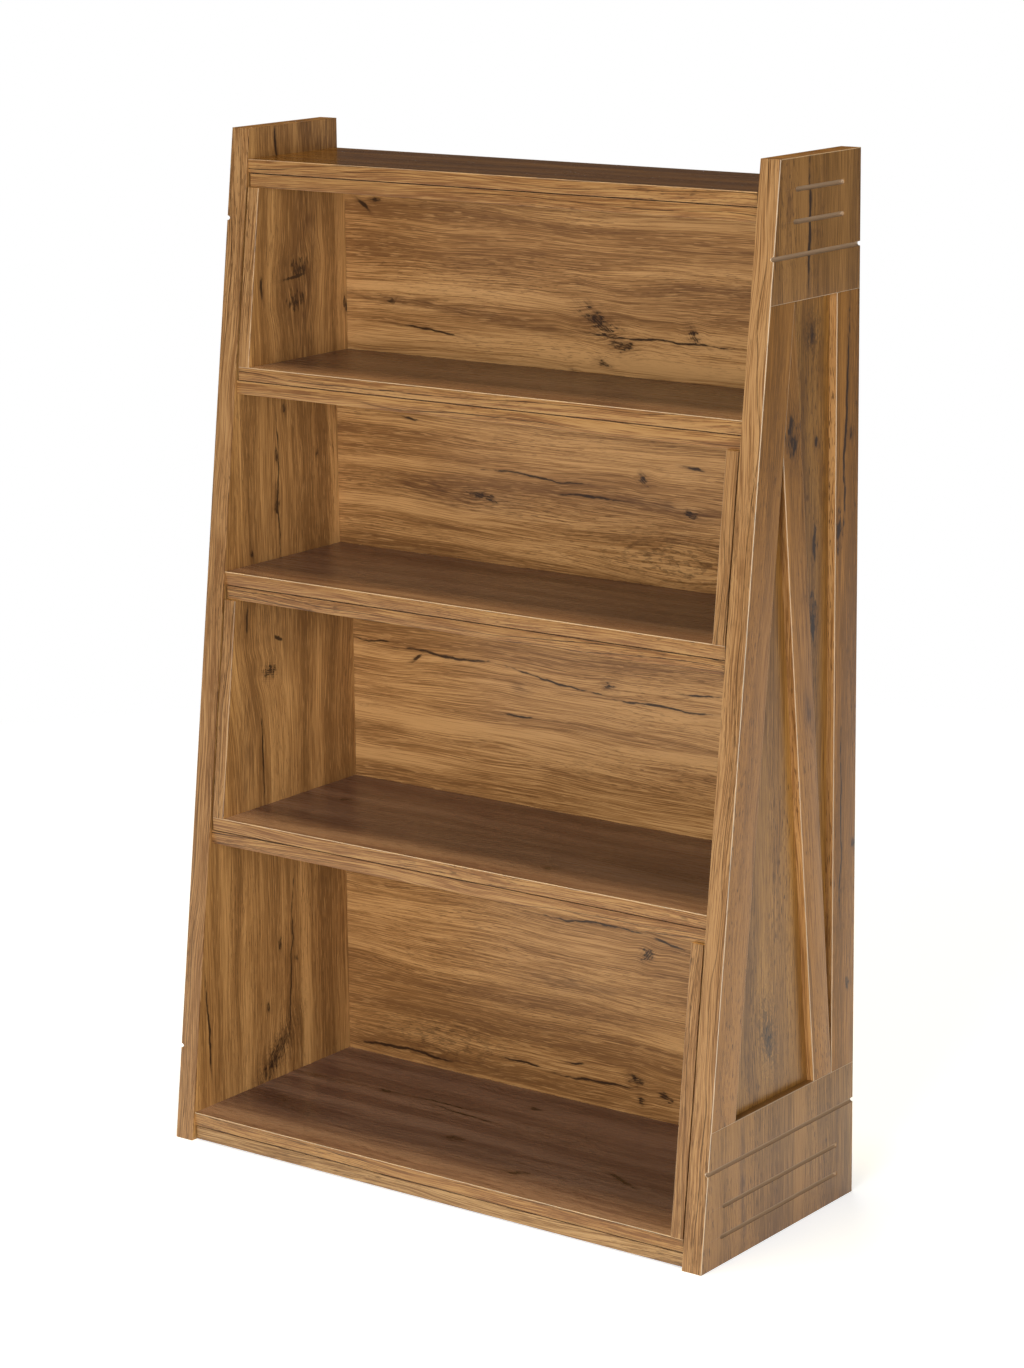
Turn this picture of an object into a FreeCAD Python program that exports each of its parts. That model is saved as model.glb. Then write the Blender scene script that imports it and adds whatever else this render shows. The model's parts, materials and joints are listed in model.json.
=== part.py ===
import FreeCAD, Part
import math
import os
from types import SimpleNamespace

import Sketcher

# A free-standing bookcase of two comb-shaped units that slide into each other.
# Each unit is one side frame with boards and open boxes standing out from its inner face.
# The boards of the two units lie on each other in pairs, so pulling the units apart widens the bookcase.
# X runs along the shelves, Y from front to rear and Z up. The origin is the middle of the footprint,
# on the floor, with the bookcase closed.

DRIVING_SIZES = {
    # Whole bookcase
    "overall_width": 716,
    "overall_height": 1130,
    "foot_depth": 294,
    "crown_depth": 152,
    # Boards
    "side_board_thickness": 15,
    "overlay_thickness": 9,
    "board_thickness": 15,
    "end_panel_thickness": 15,
    "back_panel_thickness": 4,
    "band_thickness": 1.5,
    # Clear heights of the four compartments
    "bottom_clear_height": 306,
    "lower_clear_height": 244,
    "upper_clear_height": 196,
    "top_clear_height": 196,
    # Running clearances and set-backs
    "layer_gap": 0.7,
    "end_gap": 2.4,
    "floor_gap": 1,
    "board_set_back": 4,
    "panel_set_back": 1.2,
    # Side frame overlays
    "crown_height": 145,
    "plinth_height": 148,
    "leg_width": 44,
    "brace_width": 35,
    "groove_width": 5,
    "groove_depth": 3.5,
    "short_groove_inset": 32,
    "crown_first_groove_drop": 32,
    "crown_second_groove_drop": 64.5,
    "crown_long_groove_drop": 98.5,
    "plinth_first_groove_rise": 30.5,
    "plinth_second_groove_rise": 63,
    "plinth_long_groove_rise": 105,
    # Back panels in their grooves
    "back_inset": 5,
    "back_groove_depth": 5,
    "back_panel_play": 0.2,
    # Cam fittings, dowels and screws
    "fastener_inset": 40,
    "dowel_step": 25,
    "fastener_play": 0.2,
    "bolt_thread_diameter": 6,
    "bolt_thread_length": 11,
    "bolt_shank_diameter": 5,
    "bolt_head_diameter": 7,
    "bolt_head_length": 3,
    "cam_reach": 24,
    "cam_diameter": 15,
    "cam_height": 11.8,
    "dowel_diameter": 8,
    "dowel_length": 30,
    "dowel_seat": 10,
    "screw_shank_diameter": 4.5,
    "screw_length": 45,
    "screw_head_diameter": 9,
    "screw_head_height": 3,
    "screw_head_sink": 0.4,
}

doc = FreeCAD.newDocument("sliding_bookcase")
sheet = doc.addObject("Spreadsheet::Sheet", "Sizes")
for row, (alias, number) in enumerate(DRIVING_SIZES.items(), start=1):
    sheet.set(f"A{row}", str(number))
    sheet.setAlias(f"A{row}", alias)
doc.recompute()


class Size:
    """A size of the bookcase: its number, and the expression that works it out from the sheet."""

    def __init__(self, number, text):
        self.number = number
        self.text = text

    @staticmethod
    def of(value):
        return value if isinstance(value, Size) else Size(value, str(value))

    def __add__(self, other):
        other = Size.of(other)
        return Size(self.number + other.number, f"({self.text} + {other.text})")

    def __sub__(self, other):
        other = Size.of(other)
        return Size(self.number - other.number, f"({self.text} - {other.text})")

    def __mul__(self, other):
        other = Size.of(other)
        return Size(self.number * other.number, f"({self.text} * {other.text})")

    def __truediv__(self, other):
        other = Size.of(other)
        return Size(self.number / other.number, f"({self.text} / {other.text})")

    def __rmul__(self, other):
        return Size.of(other) * self

    def __neg__(self):
        return Size.of(-1) * self


size = SimpleNamespace(**{alias: Size(number, f"Sizes.{alias}") for alias, number in DRIVING_SIZES.items()})
zero = Size.of(0)
parts = []

# Sizes that follow from the driving ones

frame_thickness = size.side_board_thickness + size.overlay_thickness
inner_width = size.overall_width - 2 * frame_thickness
board_length = inner_width - size.end_gap
level_thickness = 2 * size.board_thickness + size.layer_gap
front_slope = (size.foot_depth - size.crown_depth) / size.overall_height
crown_bottom = size.overall_height - size.crown_height
back_groove_rear = size.foot_depth - size.back_inset + size.back_panel_play
back_groove_front = size.foot_depth - size.back_inset - size.back_panel_thickness - size.back_panel_play
back_panel_hold = size.back_groove_depth - size.back_panel_play
cam_bore_depth = size.cam_height + size.fastener_play
screw_seat_depth = size.screw_head_height + size.screw_head_sink
screw_pilot_depth = size.screw_length - size.board_thickness + screw_seat_depth + size.fastener_play

TOWARDS_MIDDLE = {"left": 1, "right": -1}
OUTER_FACE = {"left": -size.overall_width / 2, "right": size.overall_width / 2}
INNER_FACE = {"left": OUTER_FACE["left"] + frame_thickness, "right": OUTER_FACE["right"] - frame_thickness}
BOARD_LEFT_END = {"left": INNER_FACE["left"], "right": INNER_FACE["left"] + size.end_gap}

clear_heights = (
    size.bottom_clear_height,
    size.lower_clear_height,
    size.upper_clear_height,
    size.top_clear_height,
)
level_bottoms = [size.floor_gap]
for clear_height in clear_heights:
    level_bottoms.append(level_bottoms[-1] + level_thickness + clear_height)


def front_at(height):
    """How far the frame's front edge lies behind the foot's front, at a height."""
    return front_slope * height


def world_y(behind_foot_front):
    """The place along Y of something that lies so far behind the foot's front."""
    return behind_foot_front - size.foot_depth / 2


# Helpers that draw and cut


def bind_place(thing, x, y, z):
    """Ties the place of a piece to the sheet."""
    for axis, distance in zip("xyz", (x, y, z)):
        thing.setExpression(f"Placement.Base.{axis}", distance.text)


def new_part(thing, label):
    """Names a finished piece and puts it on the list of pieces to write."""
    thing.Label = label
    parts.append(thing)
    return thing


def new_body(label, x, y, z):
    """An empty body at its place in the bookcase."""
    body = new_part(doc.addObject("PartDesign::Body", label), label)
    bind_place(body, x, y, z)
    return body


def new_sketch(body, name, plane, offset=zero):
    """An empty sketch on one of the body's own planes, moved along the plane's normal."""
    sketch = body.newObject("Sketcher::SketchObject", name)
    support = next(feature for feature in body.Origin.OriginFeatures if feature.Role == plane)
    sketch.AttachmentSupport = [(support, "")]
    sketch.MapMode = "FlatFace"
    if offset is not zero:
        sketch.setExpression("AttachmentOffset.Base.z", offset.text)
    return sketch


def hold_across(sketch, geometry, point, across):
    """Keeps one point of a sketch at a distance from the upright axis."""
    if across is zero:
        sketch.addConstraint(Sketcher.Constraint("PointOnObject", geometry, point, -2))
        return
    index = sketch.addConstraint(Sketcher.Constraint("DistanceX", -1, 1, geometry, point, across.number))
    sketch.setExpression(f"Constraints[{index}]", across.text)


def hold_up(sketch, geometry, point, up):
    """Keeps one point of a sketch at a distance from the level axis."""
    if up is zero:
        sketch.addConstraint(Sketcher.Constraint("PointOnObject", geometry, point, -1))
        return
    index = sketch.addConstraint(Sketcher.Constraint("DistanceY", -1, 1, geometry, point, up.number))
    sketch.setExpression(f"Constraints[{index}]", up.text)


def draw_outline(sketch, corners):
    """A closed outline of straight lines through corners that are tied to the sheet."""
    points = [FreeCAD.Vector(across.number, up.number, 0) for across, up in corners]
    count = len(points)
    for index in range(count):
        sketch.addGeometry(Part.LineSegment(points[index], points[(index + 1) % count]), False)
    for index, (across, up) in enumerate(corners):
        sketch.addConstraint(Sketcher.Constraint("Coincident", index, 2, (index + 1) % count, 1))
        hold_across(sketch, index, 1, across)
        hold_up(sketch, index, 1, up)


def draw_circles(sketch, centres, diameter):
    """Equal circles at centres that are tied to the sheet."""
    up = FreeCAD.Vector(0, 0, 1)
    for index, (across, height) in enumerate(centres):
        centre = FreeCAD.Vector(across.number, height.number, 0)
        sketch.addGeometry(Part.Circle(centre, up, diameter.number / 2), False)
        hold_across(sketch, index, 3, across)
        hold_up(sketch, index, 3, height)
        limit = sketch.addConstraint(Sketcher.Constraint("Diameter", index, diameter.number))
        sketch.setExpression(f"Constraints[{limit}]", diameter.text)


def draw_slot(sketch, start, end, height, width):
    """A level slot with half-round ends, between the centres of its two ends."""
    radius = width / 2
    low = height - radius
    high = height + radius
    normal = FreeCAD.Vector(0, 0, 1)
    quarter = math.pi / 2
    low_start = FreeCAD.Vector(start.number, low.number, 0)
    low_end = FreeCAD.Vector(end.number, low.number, 0)
    high_start = FreeCAD.Vector(start.number, high.number, 0)
    high_end = FreeCAD.Vector(end.number, high.number, 0)
    start_circle = Part.Circle(FreeCAD.Vector(start.number, height.number, 0), normal, radius.number)
    end_circle = Part.Circle(FreeCAD.Vector(end.number, height.number, 0), normal, radius.number)
    bottom = sketch.addGeometry(Part.LineSegment(low_start, low_end), False)
    right = sketch.addGeometry(Part.ArcOfCircle(end_circle, -quarter, quarter), False)
    top = sketch.addGeometry(Part.LineSegment(high_end, high_start), False)
    left = sketch.addGeometry(Part.ArcOfCircle(start_circle, quarter, 3 * quarter), False)
    for first, first_point, second, second_point in (
        (bottom, 2, right, 1),
        (right, 2, top, 1),
        (top, 2, left, 1),
        (left, 2, bottom, 1),
    ):
        sketch.addConstraint(Sketcher.Constraint("Coincident", first, first_point, second, second_point))
    for line, point, across, up in (
        (bottom, 1, start, low),
        (bottom, 2, end, low),
        (top, 1, end, high),
        (top, 2, start, high),
    ):
        hold_across(sketch, line, point, across)
        hold_up(sketch, line, point, up)
    hold_across(sketch, right, 3, end)
    hold_across(sketch, left, 3, start)


def pad(body, sketch, thickness, against_normal=False):
    """Raises a sketch to a solid."""
    feature = body.newObject("PartDesign::Pad", f"{body.Name}_pad")
    feature.Profile = sketch
    feature.setExpression("Length", thickness.text)
    feature.Reversed = against_normal
    return feature


def pocket(body, sketch, depth, along_normal):
    """Cuts a sketch into the solid, along the sketch's normal or against it."""
    feature = body.newObject("PartDesign::Pocket", f"{sketch.Name}_cut")
    feature.Profile = sketch
    feature.setExpression("Length", depth.text)
    feature.Reversed = along_normal
    return feature


def new_box(label, x, y, z, length, width, height):
    """A plain box whose place and sizes are tied to the sheet."""
    box = doc.addObject("Part::Box", label)
    bind_place(box, x, y, z)
    for name, distance in (("Length", length), ("Width", width), ("Height", height)):
        box.setExpression(name, distance.text)
    return box


def new_rod(label, x, y, z, diameter, length, direction=0):
    """A round rod from its start point, up for direction 0, or along X for direction 1 or -1."""
    rod = doc.addObject("Part::Cylinder", label)
    rod.Placement.Rotation = FreeCAD.Rotation(FreeCAD.Vector(0, 1, 0), 90 * direction)
    bind_place(rod, x, y, z)
    rod.setExpression("Radius", (diameter / 2).text)
    rod.setExpression("Height", length.text)
    return rod


# Side frames: a side board, with a crown, a plinth, two legs and a brace glued to its outer face


def new_frame_piece(side, name, corners, from_outer_face, thickness):
    """A flat piece of a side frame, from an outline seen from the side."""
    direction = TOWARDS_MIDDLE[side]
    label = f"{side}_{name}"
    body = new_body(label, OUTER_FACE[side], world_y(zero), zero)
    offset = from_outer_face if from_outer_face is zero else direction * from_outer_face
    sketch = new_sketch(body, f"{label}_outline", "YZ_Plane", offset)
    draw_outline(sketch, corners)
    pad(body, sketch, thickness, against_normal=direction < 0)
    return body


def sloped_corners(bottom, top, run_from_front, width):
    """Four corners of a strip that follows the frame's sloping front edge."""
    low_front = front_at(bottom) + run_from_front
    high_front = front_at(top) + run_from_front
    return [(low_front, bottom), (low_front + width, bottom), (high_front + width, top), (high_front, top)]


def trapezoid_corners(bottom, top):
    """Four corners of a panel from the front edge's band to the upright rear edge."""
    low_front = front_at(bottom) + size.band_thickness
    high_front = front_at(top) + size.band_thickness
    return [(low_front, bottom), (size.foot_depth, bottom), (size.foot_depth, top), (high_front, top)]


def cut_long_groove(body, side, height):
    """A groove across the outer face that runs out through both edges of the piece."""
    sketch = new_sketch(body, f"{body.Name}_long_groove", "YZ_Plane")
    low = height - size.groove_width / 2
    high = height + size.groove_width / 2
    draw_outline(sketch, [(zero, low), (size.foot_depth, low), (size.foot_depth, high), (zero, high)])
    pocket(body, sketch, size.groove_depth, along_normal=TOWARDS_MIDDLE[side] > 0)


def cut_short_groove(body, side, name, height):
    """A groove across the outer face that stops short of both edges."""
    sketch = new_sketch(body, f"{body.Name}_{name}", "YZ_Plane")
    start = front_at(height) + size.short_groove_inset + size.groove_width / 2
    end = size.foot_depth - size.short_groove_inset - size.groove_width / 2
    draw_slot(sketch, start, end, height, size.groove_width)
    pocket(body, sketch, size.groove_depth, along_normal=TOWARDS_MIDDLE[side] > 0)


def brace_corners():
    """The brace's rear edge joins two opposite corners of the frame's opening, and its foot stands level."""
    leg_rear = front_at(crown_bottom) + size.band_thickness + size.leg_width
    rear_leg_front = size.foot_depth - size.leg_width
    opening_height = crown_bottom - size.plinth_height
    lean = (rear_leg_front - leg_rear) / opening_height
    drop = size.brace_width / (lean + front_slope)
    return [
        (rear_leg_front - size.brace_width, size.plinth_height),
        (rear_leg_front, size.plinth_height),
        (leg_rear, crown_bottom),
        (leg_rear - front_slope * drop, crown_bottom - drop),
    ]


def make_side_frame(side, boards, boxes):
    """A side board drilled for its boards and grooved for its back panels, with overlays and a front band."""
    direction = TOWARDS_MIDDLE[side]
    height = size.overall_height
    label = f"{side}_side_board"
    board = new_frame_piece(
        side, "side_board", trapezoid_corners(zero, height), size.overlay_thickness, size.side_board_thickness
    )
    inner_face = direction * frame_thickness
    into_board = direction < 0

    bolt_holes = new_sketch(board, f"{label}_bolt_holes", "YZ_Plane", inner_face)
    bolt_centres = [(y, item.middle) for item in boards for y in item.bolt_places]
    draw_circles(bolt_holes, bolt_centres, size.bolt_thread_diameter + size.fastener_play)
    pocket(board, bolt_holes, size.bolt_thread_length + size.fastener_play, into_board)

    dowel_holes = new_sketch(board, f"{label}_dowel_holes", "YZ_Plane", inner_face)
    dowel_centres = [(y, item.middle) for item in boards for y in item.dowel_places]
    draw_circles(dowel_holes, dowel_centres, size.dowel_diameter + size.fastener_play)
    pocket(board, dowel_holes, size.dowel_seat + size.fastener_play, into_board)

    for box in boxes:
        groove = new_sketch(board, f"{label}_{box.name}_back_groove", "YZ_Plane", inner_face)
        low = box.floor.top - size.back_groove_depth
        high = box.roof.bottom + size.back_groove_depth
        draw_outline(
            groove,
            [(back_groove_front, low), (back_groove_rear, low), (back_groove_rear, high), (back_groove_front, high)],
        )
        pocket(board, groove, size.back_groove_depth, into_board)

    overlay = size.overlay_thickness
    crown = new_frame_piece(side, "crown_panel", trapezoid_corners(crown_bottom, height), zero, overlay)
    cut_short_groove(crown, side, "first_groove", height - size.crown_first_groove_drop)
    cut_short_groove(crown, side, "second_groove", height - size.crown_second_groove_drop)
    cut_long_groove(crown, side, height - size.crown_long_groove_drop)

    plinth = new_frame_piece(side, "plinth_panel", trapezoid_corners(zero, size.plinth_height), zero, overlay)
    cut_short_groove(plinth, side, "first_groove", size.plinth_first_groove_rise)
    cut_short_groove(plinth, side, "second_groove", size.plinth_second_groove_rise)
    cut_long_groove(plinth, side, size.plinth_long_groove_rise)

    front_leg = sloped_corners(size.plinth_height, crown_bottom, size.band_thickness, size.leg_width)
    new_frame_piece(side, "front_leg", front_leg, zero, overlay)
    rear_leg_front = size.foot_depth - size.leg_width
    rear_leg = [
        (rear_leg_front, size.plinth_height),
        (size.foot_depth, size.plinth_height),
        (size.foot_depth, crown_bottom),
        (rear_leg_front, crown_bottom),
    ]
    new_frame_piece(side, "rear_leg", rear_leg, zero, overlay)
    new_frame_piece(side, "diagonal_brace", brace_corners(), zero, overlay)

    band_corners = sloped_corners(zero, height, zero, size.band_thickness)
    band = new_frame_piece(side, "front_edge_band", band_corners, zero, frame_thickness)
    for name, groove_height in (
        ("crown", height - size.crown_long_groove_drop),
        ("plinth", size.plinth_long_groove_rise),
    ):
        notch = new_sketch(band, f"{band.Name}_{name}_notch", "YZ_Plane")
        low = groove_height - size.groove_width / 2
        high = groove_height + size.groove_width / 2
        draw_outline(notch, [(zero, low), (size.foot_depth, low), (size.foot_depth, high), (zero, high)])
        pocket(band, notch, size.groove_depth, along_normal=direction > 0)


# Boards: each is fixed to one side frame and free at its other end


class Board:
    """Where one board lies: its side frame, its level of five and its layer of two."""

    def __init__(self, label, side, level, layer):
        self.label = label
        self.side = side
        lift = zero if layer == "lower" else size.board_thickness + size.layer_gap
        self.bottom = level_bottoms[level] + lift
        self.top = self.bottom + size.board_thickness
        self.middle = self.bottom + size.board_thickness / 2
        level_middle = level_bottoms[level] + level_thickness / 2
        self.band_front = front_at(level_middle) + size.board_set_back
        self.front = self.band_front + size.band_thickness
        self.depth = size.foot_depth - self.front
        rear_inset = size.foot_depth - size.fastener_inset
        self.bolt_places = (self.front + size.fastener_inset, rear_inset)
        self.dowel_places = (self.bolt_places[0] + size.dowel_step, rear_inset - size.dowel_step)
        self.screw_places = self.bolt_places

    def along(self, from_fixed_end):
        """The place along the board, from its left end, of something so far from its fixed end."""
        return from_fixed_end if self.side == "left" else board_length - from_fixed_end


def make_board(item, back_groove=None):
    """A board drilled for its fittings, with a groove for a back panel in its top or bottom face."""
    thickness = size.board_thickness
    body = new_body(item.label, BOARD_LEFT_END[item.side], world_y(item.front), item.bottom)
    outline = new_sketch(body, f"{item.label}_outline", "XY_Plane")
    draw_outline(outline, [(zero, zero), (board_length, zero), (board_length, item.depth), (zero, item.depth)])
    pad(body, outline, thickness)

    fixed_end = zero if item.side == "left" else board_length
    into_board = item.side == "left"
    bolt_bores = new_sketch(body, f"{item.label}_bolt_bores", "YZ_Plane", fixed_end)
    bolt_centres = [(y - item.front, thickness / 2) for y in item.bolt_places]
    draw_circles(bolt_bores, bolt_centres, size.bolt_head_diameter + size.fastener_play)
    pocket(body, bolt_bores, size.cam_reach, into_board)

    dowel_bores = new_sketch(body, f"{item.label}_dowel_bores", "YZ_Plane", fixed_end)
    dowel_centres = [(y - item.front, thickness / 2) for y in item.dowel_places]
    draw_circles(dowel_bores, dowel_centres, size.dowel_diameter + size.fastener_play)
    pocket(body, dowel_bores, size.dowel_length - size.dowel_seat + size.fastener_play, into_board)

    cam_bores = new_sketch(body, f"{item.label}_cam_bores", "XY_Plane")
    cam_centres = [(item.along(size.cam_reach), y - item.front) for y in item.bolt_places]
    draw_circles(cam_bores, cam_centres, size.cam_diameter + size.fastener_play)
    pocket(body, cam_bores, cam_bore_depth, along_normal=True)

    edge_band = new_box(
        f"{item.label}_edge_band",
        BOARD_LEFT_END[item.side],
        world_y(item.band_front),
        item.bottom,
        board_length,
        size.band_thickness,
        thickness,
    )
    new_part(edge_band, f"{item.label}_edge_band")
    if back_groove is None:
        return

    groove_on_top = back_groove == "top"
    groove = new_sketch(body, f"{item.label}_back_groove", "XY_Plane", thickness if groove_on_top else zero)
    groove_front = back_groove_front - item.front
    groove_rear = back_groove_rear - item.front
    draw_outline(
        groove,
        [(zero, groove_front), (board_length, groove_front), (board_length, groove_rear), (zero, groove_rear)],
    )
    pocket(body, groove, size.back_groove_depth, along_normal=not groove_on_top)

    screw_line = item.along(board_length - size.end_panel_thickness / 2)
    screw_centres = [(screw_line, y - item.front) for y in item.screw_places]
    screw_holes = new_sketch(body, f"{item.label}_screw_holes", "XY_Plane")
    draw_circles(screw_holes, screw_centres, size.screw_shank_diameter + size.fastener_play)
    pocket(body, screw_holes, thickness, along_normal=True)
    screw_seats = new_sketch(body, f"{item.label}_screw_seats", "XY_Plane", zero if groove_on_top else thickness)
    draw_circles(screw_seats, screw_centres, size.screw_head_diameter + size.fastener_play)
    pocket(body, screw_seats, screw_seat_depth, along_normal=groove_on_top)


# Boxes: a floor and a roof closed by an end panel at the free end and by a back panel in grooves


class Box:
    """One compartment's box: its floor and roof boards and the side frame that carries it."""

    def __init__(self, name, side, floor_level):
        self.name = name
        self.side = side
        self.floor = Board(f"{name}_floor", side, floor_level, "upper")
        self.roof = Board(f"{name}_roof", side, floor_level + 1, "lower")
        if side == "left":
            self.panel_left = INNER_FACE["right"] - size.end_gap - size.end_panel_thickness
        else:
            self.panel_left = INNER_FACE["left"] + size.end_gap


def make_end_panel(box):
    """The upright panel at the box's free end, grooved for the back panel and drilled for its screws."""
    thickness = size.end_panel_thickness
    label = f"{box.name}_end_panel"
    floor_top = box.floor.top
    roof_bottom = box.roof.bottom
    set_back = size.panel_set_back + size.band_thickness
    body = new_body(label, box.panel_left, world_y(zero), zero)
    outline = new_sketch(body, f"{label}_outline", "YZ_Plane")
    draw_outline(
        outline,
        [
            (front_at(floor_top) + set_back, floor_top),
            (size.foot_depth, floor_top),
            (size.foot_depth, roof_bottom),
            (front_at(roof_bottom) + set_back, roof_bottom),
        ],
    )
    pad(body, outline, thickness)

    inner_face_is_right = box.side == "right"
    groove = new_sketch(body, f"{label}_back_groove", "YZ_Plane", thickness if inner_face_is_right else zero)
    draw_outline(
        groove,
        [
            (back_groove_front, floor_top),
            (back_groove_rear, floor_top),
            (back_groove_rear, roof_bottom),
            (back_groove_front, roof_bottom),
        ],
    )
    pocket(body, groove, size.back_groove_depth, along_normal=not inner_face_is_right)

    for name, board, height, upwards in (
        ("floor", box.floor, floor_top, True),
        ("roof", box.roof, roof_bottom, False),
    ):
        pilots = new_sketch(body, f"{label}_{name}_pilots", "XY_Plane", height)
        centres = [(thickness / 2, y) for y in board.screw_places]
        draw_circles(pilots, centres, size.screw_shank_diameter + size.fastener_play)
        pocket(body, pilots, screw_pilot_depth, along_normal=upwards)

    band_label = f"{label}_edge_band"
    band = new_body(band_label, box.panel_left, world_y(zero), zero)
    band_outline = new_sketch(band, f"{band_label}_outline", "YZ_Plane")
    draw_outline(
        band_outline, sloped_corners(floor_top, roof_bottom, size.panel_set_back, size.band_thickness)
    )
    pad(band, band_outline, thickness)


def make_back_panel(box):
    """The thin panel that closes the box's rear, held in grooves on all four sides."""
    if box.side == "left":
        left = INNER_FACE["left"] - back_panel_hold
        right = box.panel_left + back_panel_hold
    else:
        left = box.panel_left + size.end_panel_thickness - back_panel_hold
        right = INNER_FACE["right"] + back_panel_hold
    low = box.floor.top - back_panel_hold
    high = box.roof.bottom + back_panel_hold
    front = world_y(size.foot_depth - size.back_inset - size.back_panel_thickness)
    label = f"{box.name}_back_panel"
    panel = new_box(label, left, front, low, right - left, size.back_panel_thickness, high - low)
    new_part(panel, label)


# Fasteners: each kind is one group of separate pieces for each side frame


def new_group(label, members):
    """A group of identical fasteners, kept as separate solids."""
    group = new_part(doc.addObject("Part::Compound", label), label)
    group.Links = members


def make_frame_fasteners(side, boards):
    """Cam bolts, cam discs and dowels that join the boards' fixed ends to their side board."""
    direction = TOWARDS_MIDDLE[side]
    face = INNER_FACE[side]
    shank_length = size.cam_reach - size.bolt_head_length / 2
    bolts = []
    discs = []
    dowels = []
    for item in boards:
        height = item.middle
        for number, place in enumerate(item.bolt_places, start=1):
            y = world_y(place)
            name = f"{item.label}_bolt_{number}"
            thread_start = face - direction * size.bolt_thread_length
            head_start = face + direction * shank_length
            bolt = doc.addObject("Part::MultiFuse", name)
            bolt.Shapes = [
                new_rod(
                    f"{name}_thread",
                    thread_start,
                    y,
                    height,
                    size.bolt_thread_diameter,
                    size.bolt_thread_length,
                    direction,
                ),
                new_rod(f"{name}_shank", face, y, height, size.bolt_shank_diameter, shank_length, direction),
                new_rod(
                    f"{name}_head",
                    head_start,
                    y,
                    height,
                    size.bolt_head_diameter,
                    size.bolt_head_length,
                    direction,
                ),
            ]
            bolts.append(bolt)
            discs.append(make_cam_disc(f"{item.label}_cam_{number}", item, direction, y))
        for number, place in enumerate(item.dowel_places, start=1):
            start = face - direction * size.dowel_seat
            name = f"{item.label}_dowel_{number}"
            y = world_y(place)
            dowels.append(new_rod(name, start, y, height, size.dowel_diameter, size.dowel_length, direction))
    new_group(f"{side}_cam_bolts", bolts)
    new_group(f"{side}_cam_discs", discs)
    new_group(f"{side}_dowels", dowels)


def make_cam_disc(name, item, direction, y):
    """A cam disc in the board's underside, with a mouth that takes the head of the bolt."""
    axis = INNER_FACE[item.side] + direction * size.cam_reach
    disc = new_rod(f"{name}_disc", axis, y, item.bottom, size.cam_diameter, size.cam_height)
    past_axis = size.bolt_head_length / 2 + size.fastener_play
    before_axis = size.cam_diameter / 2
    mouth_left = axis - (before_axis if direction > 0 else past_axis)
    mouth_size = size.bolt_head_diameter + size.fastener_play
    mouth = new_box(
        f"{name}_mouth",
        mouth_left,
        y - mouth_size / 2,
        item.middle - mouth_size / 2,
        before_axis + past_axis,
        mouth_size,
        mouth_size,
    )
    cam = doc.addObject("Part::Cut", name)
    cam.Base = disc
    cam.Tool = mouth
    return cam


def make_panel_screws(side, boxes):
    """Screws through the boards' free ends into the end panels, with their heads below the surface."""
    screws = []
    for box in boxes:
        x = box.panel_left + size.end_panel_thickness / 2
        for board, from_above in ((box.floor, False), (box.roof, True)):
            if from_above:
                seat = board.top - screw_seat_depth
                shank_start = seat - size.screw_length
                head_start = seat
            else:
                seat = board.bottom + screw_seat_depth
                shank_start = seat
                head_start = seat - size.screw_head_height
            for number, place in enumerate(board.screw_places, start=1):
                y = world_y(place)
                name = f"{board.label}_screw_{number}"
                screw = doc.addObject("Part::MultiFuse", name)
                screw.Shapes = [
                    new_rod(f"{name}_shank", x, y, shank_start, size.screw_shank_diameter, size.screw_length),
                    new_rod(f"{name}_head", x, y, head_start, size.screw_head_diameter, size.screw_head_height),
                ]
                screws.append(screw)
    new_group(f"{side}_end_panel_screws", screws)


# The two units, from the floor up

boxes = {
    "left": [Box("bottom_box", "left", 0), Box("upper_box", "left", 2)],
    "right": [Box("lower_box", "right", 1), Box("top_box", "right", 3)],
}
cover_board = Board("top_cover_board", "left", 4, "upper")
base_board = Board("base_board", "right", 0, "lower")
single_boards = {"left": [cover_board], "right": [base_board]}

for side in TOWARDS_MIDDLE:
    boards = [board for box in boxes[side] for board in (box.floor, box.roof)] + single_boards[side]
    make_side_frame(side, boards, boxes[side])
    for box in boxes[side]:
        make_board(box.floor, back_groove="top")
        make_board(box.roof, back_groove="bottom")
        make_end_panel(box)
        make_back_panel(box)
    for board in single_boards[side]:
        make_board(board)
    make_frame_fasteners(side, boards)
    make_panel_screws(side, boxes[side])

doc.recompute()

# Every object has to be sound, and every cut has to take something away, before anything is written

for thing in doc.Objects:
    if "Invalid" in thing.State or "Error" in thing.State:
        raise RuntimeError(f"{thing.Name} did not recompute: {thing.State}")
    if thing.TypeId == "PartDesign::Pocket" and thing.Shape.Volume >= thing.BaseFeature.Shape.Volume:
        raise RuntimeError(f"{thing.Name} cuts nothing")
for piece in parts:
    if piece.Shape.isNull() or not piece.Shape.isValid():
        raise RuntimeError(f"{piece.Label} has no sound shape")

os.makedirs("parts", exist_ok=True)
for piece in parts:
    piece.Shape.exportStep(f"parts/{piece.Label}.step")
print(f"{len(parts)} pieces written")
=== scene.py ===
import json
import logging
import math
from collections.abc import Sequence
from dataclasses import dataclass, field, replace
from enum import Enum

import bmesh
import bpy
import numpy as np
from mathutils import Matrix, Vector

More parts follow.
